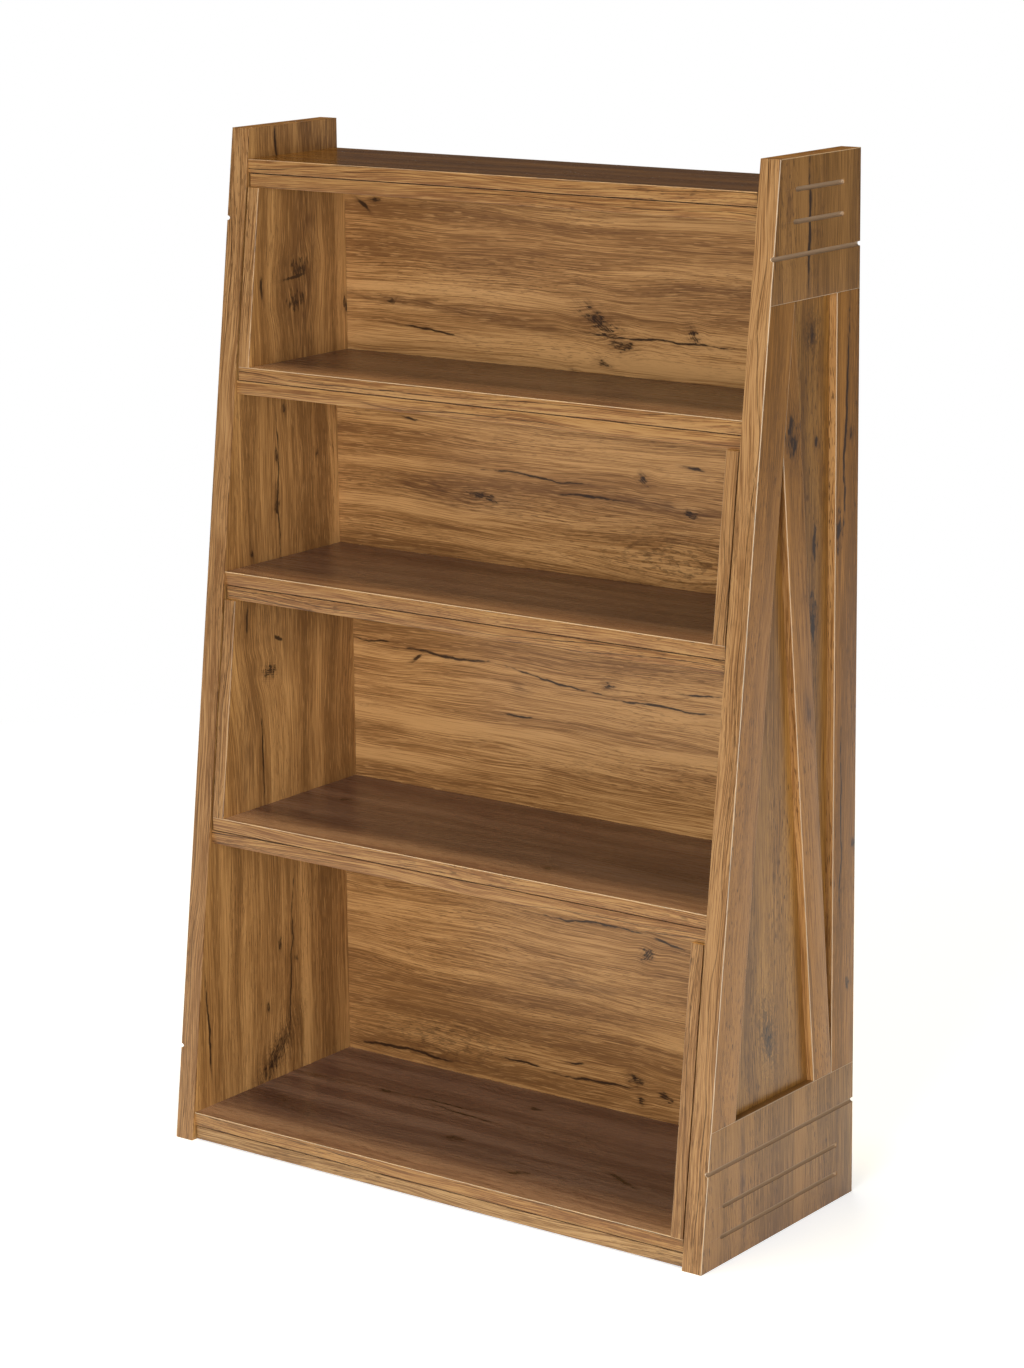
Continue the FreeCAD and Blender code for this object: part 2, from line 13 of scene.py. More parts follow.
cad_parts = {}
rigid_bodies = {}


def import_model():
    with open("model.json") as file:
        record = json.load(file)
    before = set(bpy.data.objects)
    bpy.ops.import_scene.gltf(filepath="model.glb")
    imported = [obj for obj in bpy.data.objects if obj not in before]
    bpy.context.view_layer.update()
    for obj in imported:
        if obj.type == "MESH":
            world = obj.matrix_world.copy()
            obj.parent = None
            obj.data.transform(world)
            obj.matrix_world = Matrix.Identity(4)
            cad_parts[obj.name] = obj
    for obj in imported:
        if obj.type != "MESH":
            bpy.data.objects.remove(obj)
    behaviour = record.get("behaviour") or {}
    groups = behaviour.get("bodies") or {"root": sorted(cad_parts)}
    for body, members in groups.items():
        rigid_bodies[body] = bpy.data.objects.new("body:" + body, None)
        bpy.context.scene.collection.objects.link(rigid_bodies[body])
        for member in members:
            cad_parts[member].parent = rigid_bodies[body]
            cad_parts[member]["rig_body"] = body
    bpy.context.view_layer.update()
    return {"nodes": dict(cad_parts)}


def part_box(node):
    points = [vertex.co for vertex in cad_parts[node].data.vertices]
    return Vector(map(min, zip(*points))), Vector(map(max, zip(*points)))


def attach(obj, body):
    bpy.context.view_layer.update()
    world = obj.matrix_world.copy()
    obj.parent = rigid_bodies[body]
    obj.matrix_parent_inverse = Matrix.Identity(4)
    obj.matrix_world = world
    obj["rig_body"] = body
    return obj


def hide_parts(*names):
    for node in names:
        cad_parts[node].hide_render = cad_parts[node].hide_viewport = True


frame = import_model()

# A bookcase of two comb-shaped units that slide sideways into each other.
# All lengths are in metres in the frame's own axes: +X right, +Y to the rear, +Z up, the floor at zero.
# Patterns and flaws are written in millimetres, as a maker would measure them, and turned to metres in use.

log = logging.getLogger("bookcase")

MILLIMETRE = 0.001
IMAGE_HEIGHT = 1368

X_AXIS = 0
Y_AXIS = 1
Z_AXIS = 2

WHITE = "#FFFFFF"
BAND_THICKNESS = 1.5 * MILLIMETRE
REAR_SKIN = 0.1 * MILLIMETRE
JOIN_DISTANCE = 0.01 * MILLIMETRE
SHARP_ANGLE = math.radians(32.0)

# So far through the sheet, in metres, that the place through it doesn't count in a flaw's distance.
THROUGH_REACH = 1000.0

# A mix has sockets of the same name for numbers, vectors and colours, so its sockets are given by place.
MIX_SHARE = 0
FIRST_NUMBER = 2
SECOND_NUMBER = 3
FIRST_COLOUR = 6
SECOND_COLOUR = 7
COLOUR_MIX = {"output": 2, "data_type": "RGBA"}

Given = bpy.types.NodeSocket | float | tuple[float, ...]
Inputs = dict[str | int, Given]


def linear(hex_colour: str) -> tuple[float, float, float, float]:
    """Turns an sRGB hex colour into linear light.

    Args:
        hex_colour: A hash sign and six hex digits.

    Returns:
        Linear red, green and blue, with an alpha of one.
    """
    shares = np.array([int(hex_colour[place:place + 2], 16) for place in (1, 3, 5)]) / 255.0
    curved = np.where(shares <= 0.04045, shares / 12.92, ((shares + 0.055) / 1.055) ** 2.4)
    red, green, blue = curved.tolist()
    return red, green, blue, 1.0


@dataclass(frozen=True)
class Wiring:
    """A node tree that is being wired.

    Attributes:
        tree: The tree that takes the nodes.
    """

    tree: bpy.types.NodeTree

    def add(
        self, kind: str, inputs: Inputs | None = None, output: str | int = 0, **settings: object
    ) -> bpy.types.NodeSocket | None:
        """Adds one node, with its settings, its input values and its links.

        Args:
            kind: The node's type, without the words that every shader node's type starts with.
            inputs: A value, or a socket to link from, for each input given by name or place.
            output: The output wanted, by name or place.
            settings: The node's own properties.

        Returns:
            The output socket that was asked for, or none for a node that ends the tree.
        """
        node = self.tree.nodes.new(f"ShaderNode{kind}")
        for name, setting in settings.items():
            setattr(node, name, setting)
        for key, given in (inputs or {}).items():
            if isinstance(given, bpy.types.NodeSocket):
                self.tree.links.new(given, node.inputs[key])
            else:
                node.inputs[key].default_value = given
        return node.outputs[output] if len(node.outputs) else None


def span(source: Given, low: Given, high: Given, start: Given = 0.0, end: Given = 1.0) -> Inputs:
    """Gives a range map's inputs: a source that runs from low to high comes out from start to end."""
    return {"Value": source, "From Min": low, "From Max": high, "To Min": start, "To Max": end}


def blend(share: Given, first: Given, second: Given) -> Inputs:
    """Gives a colour mix's inputs: the first colour at a share of zero, the second at one."""
    return {MIX_SHARE: share, FIRST_COLOUR: first, SECOND_COLOUR: second}


def per_metre(*sizes: float) -> tuple[float, ...]:
    """Turns sizes in millimetres into counts for each metre."""
    return tuple(1.0 / (size * MILLIMETRE) for size in sizes)


def start_material(name: str) -> tuple[bpy.types.Material, Wiring]:
    """Makes an empty material.

    Args:
        name: The material's name.

    Returns:
        The material and the wiring of its tree.
    """
    material = bpy.data.materials.new(name)
    material.use_nodes = True
    material.node_tree.nodes.clear()
    return material, Wiring(material.node_tree)


def close_material(wires: Wiring, inputs: Inputs) -> None:
    """Ends a material's tree with a surface.

    Args:
        wires: The tree's wiring.
        inputs: The surface's inputs.
    """
    surface = wires.add("BsdfPrincipled", inputs)
    wires.add("OutputMaterial", {"Surface": surface})


def new_group(
    name: str, inputs: dict[str, Sequence[str]], outputs: dict[str, Sequence[str]]
) -> bpy.types.NodeTree:
    """Makes an empty node group with its sockets.

    Args:
        name: The group's name.
        inputs: The inputs' names by kind: Float, Vector or Color.
        outputs: The outputs' names by kind.

    Returns:
        The group.
    """
    tree = bpy.data.node_groups.new(name, "ShaderNodeTree")
    for in_out, sockets in (("INPUT", inputs), ("OUTPUT", outputs)):
        for kind, labels in sockets.items():
            for label in labels:
                tree.interface.new_socket(name=label, in_out=in_out, socket_type=f"NodeSocket{kind}")
    return tree


def close_group(tree: bpy.types.NodeTree, results: dict[str, bpy.types.NodeSocket]) -> None:
    """Links a group's results to its output.

    Args:
        tree: The group.
        results: The socket that feeds each output.
    """
    group_output = tree.nodes.new("NodeGroupOutput")
    for label, result in results.items():
        tree.links.new(result, group_output.inputs[label])


@dataclass(frozen=True)
class Ripple:
    """One noise of a flaw: waves for each metre along and across, detail, and the levels it is cut to."""

    along: float
    across: float
    detail: float
    low: float = 0.3
    high: float = 0.7


@dataclass(frozen=True)
class FlawFigure:
    """How a knot, crack or smoky patch is drawn.

    The edges are distances from the mark's middle, measured in its own half length and half width, between
    which the core, the haze, the rings and the push on the grain fade out.
    """

    wander: Ripple = Ripple(15.0, 6.0, 4.0)
    fray: Ripple = Ripple(75.0, 270.0, 5.0)
    thread: Ripple = Ripple(110.0, 430.0, 4.0, 0.45, 0.53)
    streak: Ripple = Ripple(26.0, 430.0, 3.0, 0.38, 0.62)
    streak_shares: tuple[float, float] = (0.2, 1.25)
    core_edge: tuple[float, float] = (0.5, 1.1)
    haze_edge: tuple[float, float] = (0.2, 2.4)
    ring_edge: tuple[float, float] = (0.9, 3.2)
    push_edge: tuple[float, float] = (0.8, 4.2)
    ring_waves: float = 8.5
    ring_crest: tuple[float, float] = (0.1, 1.0)


def make_flaw_group(figure: FlawFigure) -> bpy.types.NodeTree:
    """Makes the group that draws one knot, crack or smoky patch of a wood print.

    With the distance from the flaw's middle measured in its own half length and half width, the core is dark
    inside a distance of one, with a frayed rim and broken into threads. Rings fade out beyond it, and the
    grain across is pushed aside in proportion to its own offset, by less the further it lies.

    Args:
        figure: How the marks are drawn.

    Returns:
        The group.
    """
    tree = new_group(
        "wood_flaw",
        {
            "Vector": ("Place", "Centre", "Reach"),
            "Float": ("Turn", "Wander", "Core", "Solid", "Smoke", "Rings", "Push", "Fray"),
        },
        {"Float": ("Bend", "Dark", "Haze")},
    )
    add = Wiring(tree).add
    given = tree.nodes.new("NodeGroupInput").outputs

    def noise(place: Given, ripple: Ripple, start: Given = -1.0, end: Given = 1.0) -> bpy.types.NodeSocket:
        """Adds a noise, spread from start to end."""
        waves = (ripple.along, ripple.across, 0.0)
        stretched = add("VectorMath", {0: place, 1: waves}, operation="MULTIPLY")
        inputs = {"Vector": stretched, "Scale": 1.0, "Detail": ripple.detail}
        plain = add("TexNoise", inputs, noise_dimensions="2D")
        return add("MapRange", span(plain, ripple.low, ripple.high, start, end))

    def fade(away: Given, edge: tuple[float, float], strength: Given) -> bpy.types.NodeSocket:
        """Adds a smooth fade from a strength to nothing."""
        return add("MapRange", span(away, *edge, strength, 0.0), interpolation_type="SMOOTHSTEP")

    offset = add("VectorMath", {0: given["Place"], 1: given["Centre"]}, operation="SUBTRACT")
    turned = add("VectorRotate", {"Vector": offset, "Angle": given["Turn"]}, rotation_type="Z_AXIS")
    swing = noise(given["Place"], figure.wander)
    wander = add("Math", {0: swing, 1: given["Wander"]}, operation="MULTIPLY")
    shift = add("CombineXYZ", {"Y": wander})
    wandered = add("VectorMath", {0: turned, 1: shift}, operation="ADD")
    spread = add("VectorMath", {0: wandered, 1: given["Reach"]}, operation="DIVIDE")
    distance = add("VectorMath", {0: spread}, output="Value", operation="LENGTH")

    fray_swing = noise(given["Place"], figure.fray)
    fray = add("Math", {0: fray_swing, 1: given["Fray"]}, operation="MULTIPLY")
    rim = add("Math", {0: distance, 1: fray}, operation="ADD")
    thread = noise(wandered, figure.thread, given["Solid"])
    full_core = fade(rim, figure.core_edge, given["Core"])
    core = add("Math", {0: full_core, 1: thread}, operation="MULTIPLY")
    even_haze = fade(rim, figure.haze_edge, given["Smoke"])
    streak = noise(wandered, figure.streak, *figure.streak_shares)
    haze = add("Math", {0: even_haze, 1: streak}, operation="MULTIPLY", use_clamp=True)
    wave = add("Math", {0: rim, 1: figure.ring_waves}, operation="MULTIPLY")
    ring = add("Math", {0: wave}, operation="SINE")
    ring_fade = add("MapRange", span(distance, *figure.ring_edge, given["Rings"], 0.0))
    ring_line = add("MapRange", span(ring, *figure.ring_crest, 0.0, ring_fade))
    dark = add("Math", {0: core, 1: ring_line}, operation="MAXIMUM")

    sideways = add("SeparateXYZ", {"Vector": turned}, output="Y")
    push = fade(distance, figure.push_edge, given["Push"])
    bend = add("Math", {0: sideways, 1: push}, operation="MULTIPLY")
    close_group(tree, {"Bend": bend, "Dark": dark, "Haze": haze})
    return tree


@dataclass(frozen=True)
class Grain:
    """One noise of the oak's figure: its length and width in millimetres, and its detail."""

    length: float
    width: float
    detail: float = 2.0


@dataclass(frozen=True)
class OakFigure:
    """The figure of an oak print, with its sizes in millimetres along and across the grain.

    Real oak pores are about 0.3 mm wide. They and the fibres are drawn about three times as wide here,
    because finer ones fall between the pixels of a picture of the whole bookcase.

    Attributes:
        sway: Slow swing of the grain.
        tone: Broad tone.
        fibre: Finest stripes.
        strand: Stripes of a middling width.
        drift: Swing of the growth rings.
        stray: Swing of the dark lines.
        pore: Dark pores.
        patch: Where pores and lines are strong.
        fleck: Pale flecks.
        through: Size of every noise through the sheet.
        levels: Levels of a plain noise that are spread to zero and one.
        harshness: Share of each finer octave in a noise.
        seed_step: Step in the pattern, in metres, from one seed to the next.
        fleck_step: Step in the pattern from the pores to the flecks.
        sway_reach: How far the grain swings.
        tone_range: Tones at the ends of the broad noise.
        strand_reach: Tone by which a strand is paler or darker.
        fibre_levels: Levels of the fibre noise between which its tone runs.
        ring_width: Width of a growth ring.
        ring_drift: Widths by which the rings swing.
        ring_share: Share of a ring over which it darkens.
        ring_range: Tones where a ring starts and where it ends.
        line_spacing: Distance between the dark lines.
        line_thickness: Thickness of a line.
        line_stray: How far the lines swing.
        line_rim: Half thicknesses between which a line fades out.
        line_chances: Chances between which a line goes from none to full.
        line_patches: Patch levels between which lines go from weak to full.
        line_least: Share of a line where the patch is weak.
        pore_patches: Patch levels between which pores go from none to full.
        pore_levels: Levels of the pore noise between which a pore darkens.
        fleck_levels: Levels of the fleck noise between which a fleck pales.
        fleck_share: How pale a fleck is.
    """

    sway: Grain = Grain(420.0, 95.0)
    tone: Grain = Grain(520.0, 26.0, 1.6)
    fibre: Grain = Grain(72.0, 0.85)
    strand: Grain = Grain(150.0, 2.8)
    drift: Grain = Grain(620.0, 55.0)
    stray: Grain = Grain(420.0, 60.0, 3.0)
    pore: Grain = Grain(13.0, 1.0, 1.0)
    patch: Grain = Grain(260.0, 45.0, 1.0)
    fleck: Grain = Grain(26.0, 1.0, 1.0)
    through: float = 60.0
    levels: tuple[float, float] = (0.28, 0.72)
    harshness: float = 0.6
    seed_step: tuple[float, float, float] = (1.73, 0.61, 0.0)
    fleck_step: tuple[float, float, float] = (0.37, 0.83, 0.0)
    sway_reach: float = 7.0
    tone_range: tuple[float, float] = (-0.05, 1.05)
    strand_reach: float = 0.03
    fibre_levels: tuple[float, float] = (0.12, 0.88)
    ring_width: float = 15.0
    ring_drift: float = 4.5
    ring_share: float = 0.92
    ring_range: tuple[float, float] = (0.04, -0.06)
    line_spacing: float = 6.5
    line_thickness: float = 0.85
    line_stray: float = 14.0
    line_rim: tuple[float, float] = (0.6, 1.4)
    line_chances: tuple[float, float] = (0.35, 0.8)
    line_patches: tuple[float, float] = (0.1, 0.45)
    line_least: float = 0.2
    pore_patches: tuple[float, float] = (0.25, 0.75)
    pore_levels: tuple[float, float] = (0.7, 0.82)
    fleck_levels: tuple[float, float] = (0.74, 0.9)
    fleck_share: float = 0.6


def make_oak_group(figure: OakFigure) -> bpy.types.NodeTree:
    """Makes the group that draws an oak print from a place along, across and through the grain.

    A slow noise sways the place across the grain. Stretched noises on the swayed place give the broad tone,
    the fibres, the pores and the pale flecks, and random cells across the grain give the tonal steps between
    the staves of the print. A growth ring is a saw-tooth of the place across the grain, shifted by a slow
    noise: it darkens steadily and starts again pale. The thin dark lines lie in the middle of even steps
    across the grain, which one more slow noise makes stray, and each step has a line of its own strength.

    Args:
        figure: Sizes and tones of the figure.

    Returns:
        The group.
    """
    tree = new_group(
        "oak_print",
        {
            "Vector": ("Place",),
            "Float": ("Seed", "Stave", "Steps", "Lines", "Fibres", "Pores"),
            "Color": ("Light", "Mid", "Brown", "Streak"),
        },
        {"Color": ("Color",), "Float": ("Height",)},
    )
    add = Wiring(tree).add
    given = tree.nodes.new("NodeGroupInput").outputs

    def noise(place: Given, grain: Grain) -> bpy.types.NodeSocket:
        """Adds a noise stretched to a grain's sizes, spread to about zero to one."""
        counts = per_metre(grain.length, grain.width, figure.through)
        stretched = add("VectorMath", {0: place, 1: counts}, operation="MULTIPLY")
        inputs = {"Vector": stretched, "Scale": 1.0, "Detail": grain.detail, "Roughness": figure.harshness}
        return add("MapRange", span(add("TexNoise", inputs), *figure.levels))

    seed_step = add("VectorMath", {0: figure.seed_step, "Scale": given["Seed"]}, operation="SCALE")
    seeded = add("VectorMath", {0: given["Place"], 1: seed_step}, operation="ADD")
    sway_reach = figure.sway_reach * MILLIMETRE
    sway_across = add("MapRange", span(noise(seeded, figure.sway), 0.0, 1.0, -sway_reach, sway_reach))
    sway_step = add("CombineXYZ", {"Y": sway_across})
    place = add("VectorMath", {0: seeded, 1: sway_step}, operation="ADD")
    across = add("SeparateXYZ", {"Vector": place}, output="Y")
    fibre = noise(place, figure.fibre)
    patch = noise(place, figure.patch)

    stave_place = add("Math", {0: across, 1: given["Stave"]}, operation="DIVIDE")
    stave = add("TexVoronoi", {"W": stave_place, "Scale": 1.0}, output="Color", voronoi_dimensions="1D")
    stave_tone = add("SeparateColor", {0: stave})
    stave_step = add("MapRange", span(stave_tone, 0.0, 1.0, -0.5, 0.5))
    steps = add("Math", {0: stave_step, 1: given["Steps"]}, operation="MULTIPLY")

    (rings_per_metre,) = per_metre(figure.ring_width)
    ring_count = add("Math", {0: across, 1: rings_per_metre}, operation="MULTIPLY")
    drift = noise(place, figure.drift)
    ring_place = add("Math", {0: drift, 1: figure.ring_drift, 2: ring_count}, operation="MULTIPLY_ADD")
    ring = add("Math", {0: ring_place}, operation="FRACT")
    ring_tone = add("MapRange", span(ring, 0.0, figure.ring_share, *figure.ring_range))
    tone = noise(place, figure.tone)
    slow_tone = add("MapRange", span(tone, 0.0, 1.0, *figure.tone_range), clamp=False)
    slow = add("Math", {0: slow_tone, 1: ring_tone}, operation="ADD")
    strand = noise(place, figure.strand)
    strand_span = span(strand, 0.0, 1.0, -figure.strand_reach, figure.strand_reach)
    middling = add("MapRange", strand_span, clamp=False)
    coarse = add("Math", {0: slow, 1: middling}, operation="ADD")
    fine = add("MapRange", span(fibre, *figure.fibre_levels, -0.5, 0.5))
    depth = add("Math", {0: fine, 1: given["Fibres"], 2: coarse}, operation="MULTIPLY_ADD")
    depth_stepped = add("Math", {0: depth, 1: steps}, operation="ADD")
    lower = add("MapRange", span(depth_stepped, 0.0, 0.5))
    upper = add("MapRange", span(depth_stepped, 0.5, 1.0))
    dark_half = add("Mix", blend(lower, given["Brown"], given["Mid"]), **COLOUR_MIX)
    ground = add("Mix", blend(upper, dark_half, given["Light"]), **COLOUR_MIX)

    (lines_per_metre,) = per_metre(figure.line_spacing)
    line_step = add("Math", {0: across, 1: lines_per_metre}, operation="MULTIPLY")
    stray = noise(place, figure.stray)
    stray_steps = figure.line_stray / figure.line_spacing
    line_place = add("Math", {0: stray, 1: stray_steps, 2: line_step}, operation="MULTIPLY_ADD")
    line_number = add("Math", {0: line_place}, operation="FLOOR")
    line_chance = add("TexWhiteNoise", {"W": line_number}, noise_dimensions="1D")
    line_strength = add("MapRange", span(line_chance, *figure.line_chances, 0.0, given["Lines"]))
    line_fade = add("MapRange", span(patch, *figure.line_patches, figure.line_least, line_strength))
    line_kept = add("Math", {0: line_fade, 1: line_strength}, operation="MINIMUM")
    in_step = add("Math", {0: line_place}, operation="FRACT")
    off_middle = add("Math", {0: in_step, 1: 0.5}, operation="SUBTRACT")
    off_line = add("Math", {0: off_middle}, operation="ABSOLUTE")
    half_line = figure.line_thickness / figure.line_spacing / 2.0
    line_inner, line_outer = (share * half_line for share in figure.line_rim)
    line_share = add("MapRange", span(off_line, line_inner, line_outer, line_kept, 0.0))
    lined = add("Mix", blend(line_share, ground, given["Streak"]), **COLOUR_MIX)

    pore_strength = add("MapRange", span(patch, *figure.pore_patches, 0.0, given["Pores"]))
    pore_span = span(noise(place, figure.pore), *figure.pore_levels, 0.0, pore_strength)
    pore_share = add("MapRange", pore_span, interpolation_type="SMOOTHSTEP")
    pored = add("Mix", blend(pore_share, lined, given["Streak"]), **COLOUR_MIX)
    fleck_place = add("VectorMath", {0: place, 1: figure.fleck_step}, operation="ADD")
    fleck_span = span(noise(fleck_place, figure.fleck), *figure.fleck_levels, 0.0, figure.fleck_share)
    fleck_share = add("MapRange", fleck_span, interpolation_type="SMOOTHSTEP")
    flecked = add("Mix", blend(fleck_share, pored, given["Light"]), **COLOUR_MIX)
    height = add("Math", {0: fibre, 1: pore_share}, operation="SUBTRACT")
    close_group(tree, {"Color": flecked, "Height": height})
    return tree


FLAW_GROUP = make_flaw_group(FlawFigure())
OAK_GROUP = make_oak_group(OakFigure())


class Lay(Enum):
    """How a printed sheet lies on a piece: the axes that its grain and its width follow."""

    SHELF = (X_AXIS, Y_AXIS)
    BACK = (X_AXIS, Z_AXIS)
    SIDE = (Z_AXIS, Y_AXIS)
    EDGE = (Z_AXIS, X_AXIS)

    def directions(self, tilt: float) -> tuple[Vector, Vector, Vector]:
        """Gives the directions along, across and through the grain.

        Args:
            tilt: Angle in radians by which the grain leans from its axis towards the width's axis.

        Returns:
            Three unit vectors.
        """
        along_axis, across_axis = self.value
        along = Vector((0.0, 0.0, 0.0))
        along[along_axis] = math.cos(tilt)
        along[across_axis] = math.sin(tilt)
        across = Vector((0.0, 0.0, 0.0))
        across[along_axis] = -math.sin(tilt)
        across[across_axis] = math.cos(tilt)
        through = Vector((1.0, 1.0, 1.0))
        through[along_axis] = 0.0
        through[across_axis] = 0.0
        return along, across, through


@dataclass(frozen=True)
class Flaw:
    """One mark of the oak print, in millimetres on the piece.

    Attributes:
        along: Place on the axis that the grain follows.
        across: Place on the axis that the width follows.
        length: Half length along the mark.
        width: Half width across the mark.
        turn: Angle of the mark from the grain, in degrees.
        core: How dark the middle is, from zero to one.
        solid: How dark the middle is between its darkest threads, as a share of core.
        smoke: How dark the haze round it is.
        rings: How strong the rings round it are.
        wander: How far the mark strays to either side.
        push: How far the grain is pushed aside, as a share of its offset.
        fray: How far the rim frays, as a share of the half width.
    """

    along: float
    across: float
    length: float
    width: float
    turn: float = 0.0
    core: float = 0.85
    solid: float = 1.0
    smoke: float = 0.45
    rings: float = 0.0
    wander: float = 0.6
    push: float = 0.3
    fray: float = 0.3

    def inputs(self, lay: Lay, tilt: float, place: bpy.types.NodeSocket) -> dict[str, object]:
        """Gives the flaw group's inputs for this mark.

        Args:
            lay: How the sheet lies on the piece.
            tilt: Lean of the grain in radians.
            place: The socket with the place along, across and through the grain.

        Returns:
            A value or socket for each input.
        """
        along_axis, across_axis = lay.value
        point = Vector((0.0, 0.0, 0.0))
        point[along_axis] = self.along * MILLIMETRE
        point[across_axis] = self.across * MILLIMETRE
        along, across, _ = lay.directions(tilt)
        return {
            "Place": place,
            "Centre": (point.dot(along), point.dot(across), 0.0),
            "Reach": (self.length * MILLIMETRE, self.width * MILLIMETRE, THROUGH_REACH),
            "Turn": tilt - math.radians(self.turn),
            "Wander": self.wander * MILLIMETRE,
            "Core": self.core,
            "Solid": self.solid,
            "Smoke": self.smoke,
            "Rings": self.rings,
            "Push": self.push,
            "Fray": self.fray,
        }


def knot(
    along: float, across: float, length: float, width: float, turn: float = 0.0, rings: float = 0.15
) -> Flaw:
    """A dark knot that the grain swirls round."""
    return Flaw(
        along, across, length, width, turn, core=0.95, solid=0.4, smoke=0.55, rings=rings, wander=1.5,
        push=0.25, fray=0.65,
    )


def crack(along: float, across: float, length: float, width: float = 1.0, turn: float = 0.0) -> Flaw:
    """A thin, nearly black line that wanders along the grain, drawn a little wider than it is."""
    drawn_share = 1.3
    return Flaw(along, across, length, drawn_share * width, turn, core=0.94, smoke=0.5, wander=2.6, push=0.0)


def smoke(
    along: float, across: float, length: float, width: float, turn: float = 0.0, share: float = 0.5
) -> Flaw:
    """A soft dark patch with no core."""
    return Flaw(along, across, length, width, turn, core=0.0, smoke=share, wander=2.0, push=0.12)


def arcs(along: float, across: float, length: float, width: float, turn: float = 0.0) -> Flaw:
    """Growth rings cut at a slant, one arc inside the next."""
    return Flaw(along, across, length, width, turn, core=0.0, smoke=0.1, rings=0.45, wander=2.0)


@dataclass(frozen=True)
class OakPrint:
    """Oak print under melamine resin on chipboard.

    The eye gets a photograph of oak, quite saturated, under a hard satin skin that follows the print with a
    very slight emboss. Where an edge is milled, the pale paper and resin show as a thin light line.
    """

    name: str
    light: str
    mid: str
    brown: str
    streak: str = "#50321A"
    crack: str = "#2A1A10"
    haze: str = "#583820"
    milled: str = "#E6D5BC"
    milled_share: float = 0.75
    raw_core: str = "#A78B6E"
    stave: float = 46.0
    steps: float = 0.35
    lines: float = 0.55
    fibres: float = 1.0
    pores: float = 0.75
    edge_light: str = "#BB8C57"
    edge_mid: str = "#9F7140"
    edge_brown: str = "#7E542C"
    roughness: float = 0.32
    pore_roughness: float = 0.08
    fibre_smoothness: float = 0.04
    specular: float = 0.5
    emboss: float = 0.12
    emboss_depth: float = 0.25
    cut_levels: tuple[float, float] = (0.04, 0.22)

    def material(
        self, piece: str, lay: Lay, seed: float, flaws: Sequence[Flaw] = (), tilt: float = 0.0,
        rear: float | None = None,
    ) -> bpy.types.Material:
        """Makes this print for one piece.

        The place on the piece is measured along, across and through the grain. Each flaw pushes the grain
        aside, the oak print is drawn on the pushed place, and the flaws' haze and cores are laid over it. On
        a banded edge, the width of the print runs through the piece and the colours are the band's. The mesh
        attributes arris and cut then show the milled edges and the raw core in a groove.

        Args:
            piece: Name of the piece.
            lay: How the sheet lies on the piece.
            seed: Number that gives the piece a sheet of its own.
            flaws: Marks of the print on this piece.
            tilt: Lean of the grain in radians.
            rear: Place of the piece's rear edge, which is banded, or none.

        Returns:
            The material.
        """
        material, wires = start_material(f"{self.name}.{piece}")
        add = wires.add
        point = add("TexCoord", output="Object")
        along, across, through = (
            add("VectorMath", {0: point, 1: direction}, output="Value", operation="DOT_PRODUCT")
            for direction in lay.directions(tilt)
        )
        banded = add("Attribute", output="Fac", attribute_name="banded")
        if rear is not None:
            depth = add("SeparateXYZ", {"Vector": point}, output="Y")
            banded = add("MapRange", span(depth, rear - 2.0 * REAR_SKIN, rear - REAR_SKIN))
        width = add("Mix", {MIX_SHARE: banded, FIRST_NUMBER: across, SECOND_NUMBER: through})
        place = add("CombineXYZ", {"X": along, "Y": width, "Z": through})
        bend, dark, haze = 0.0, 0.0, 0.0
        for flaw in flaws:
            marks = add("Group", flaw.inputs(lay, tilt, place), node_tree=FLAW_GROUP).node.outputs
            bend = add("Math", {0: bend, 1: marks["Bend"]}, operation="ADD")
            dark = add("Math", {0: dark, 1: marks["Dark"]}, operation="MAXIMUM")
            haze = add("Math", {0: haze, 1: marks["Haze"]}, operation="MAXIMUM")
        push = add("CombineXYZ", {"Y": bend})
        pushed = add("VectorMath", {0: place, 1: push}, operation="SUBTRACT")
        light, mid, brown = (
            add("Mix", blend(banded, linear(face), linear(edge)), **COLOUR_MIX)
            for face, edge in (
                (self.light, self.edge_light), (self.mid, self.edge_mid), (self.brown, self.edge_brown),
            )
        )
        figure = {
            "Place": pushed, "Seed": seed, "Stave": self.stave * MILLIMETRE, "Steps": self.steps,
            "Lines": self.lines, "Fibres": self.fibres, "Pores": self.pores, "Light": light, "Mid": mid,
            "Brown": brown, "Streak": linear(self.streak),
        }
        oak = add("Group", figure, node_tree=OAK_GROUP)
        height = oak.node.outputs["Height"]
        hazy = add("Mix", blend(haze, oak, linear(self.haze)), **COLOUR_MIX)
        marked = add("Mix", blend(dark, hazy, linear(self.crack)), **COLOUR_MIX)
        arris = add("Attribute", output="Fac", attribute_name="arris")
        edge_share = add("MapRange", span(arris, 0.0, 1.0, 0.0, self.milled_share))
        edged = add("Mix", blend(edge_share, marked, linear(self.milled)), **COLOUR_MIX)
        cut = add("Attribute", output="Fac", attribute_name="cut")
        cut_share = add("MapRange", span(cut, *self.cut_levels))
        colour = add("Mix", blend(cut_share, edged, linear(self.raw_core)), **COLOUR_MIX)
        rough_pores = self.roughness + self.pore_roughness
        smooth_fibres = self.roughness - self.fibre_smoothness
        gloss = add("MapRange", span(height, 0.0, 1.0, rough_pores, smooth_fibres))
        relief = {"Height": height, "Strength": self.emboss, "Distance": self.emboss_depth * MILLIMETRE}
        bump = add("Bump", relief)
        close_material(
            wires,
            {"Base Color": colour, "Roughness": gloss, "Specular IOR Level": self.specular, "Normal": bump},
        )
        return material


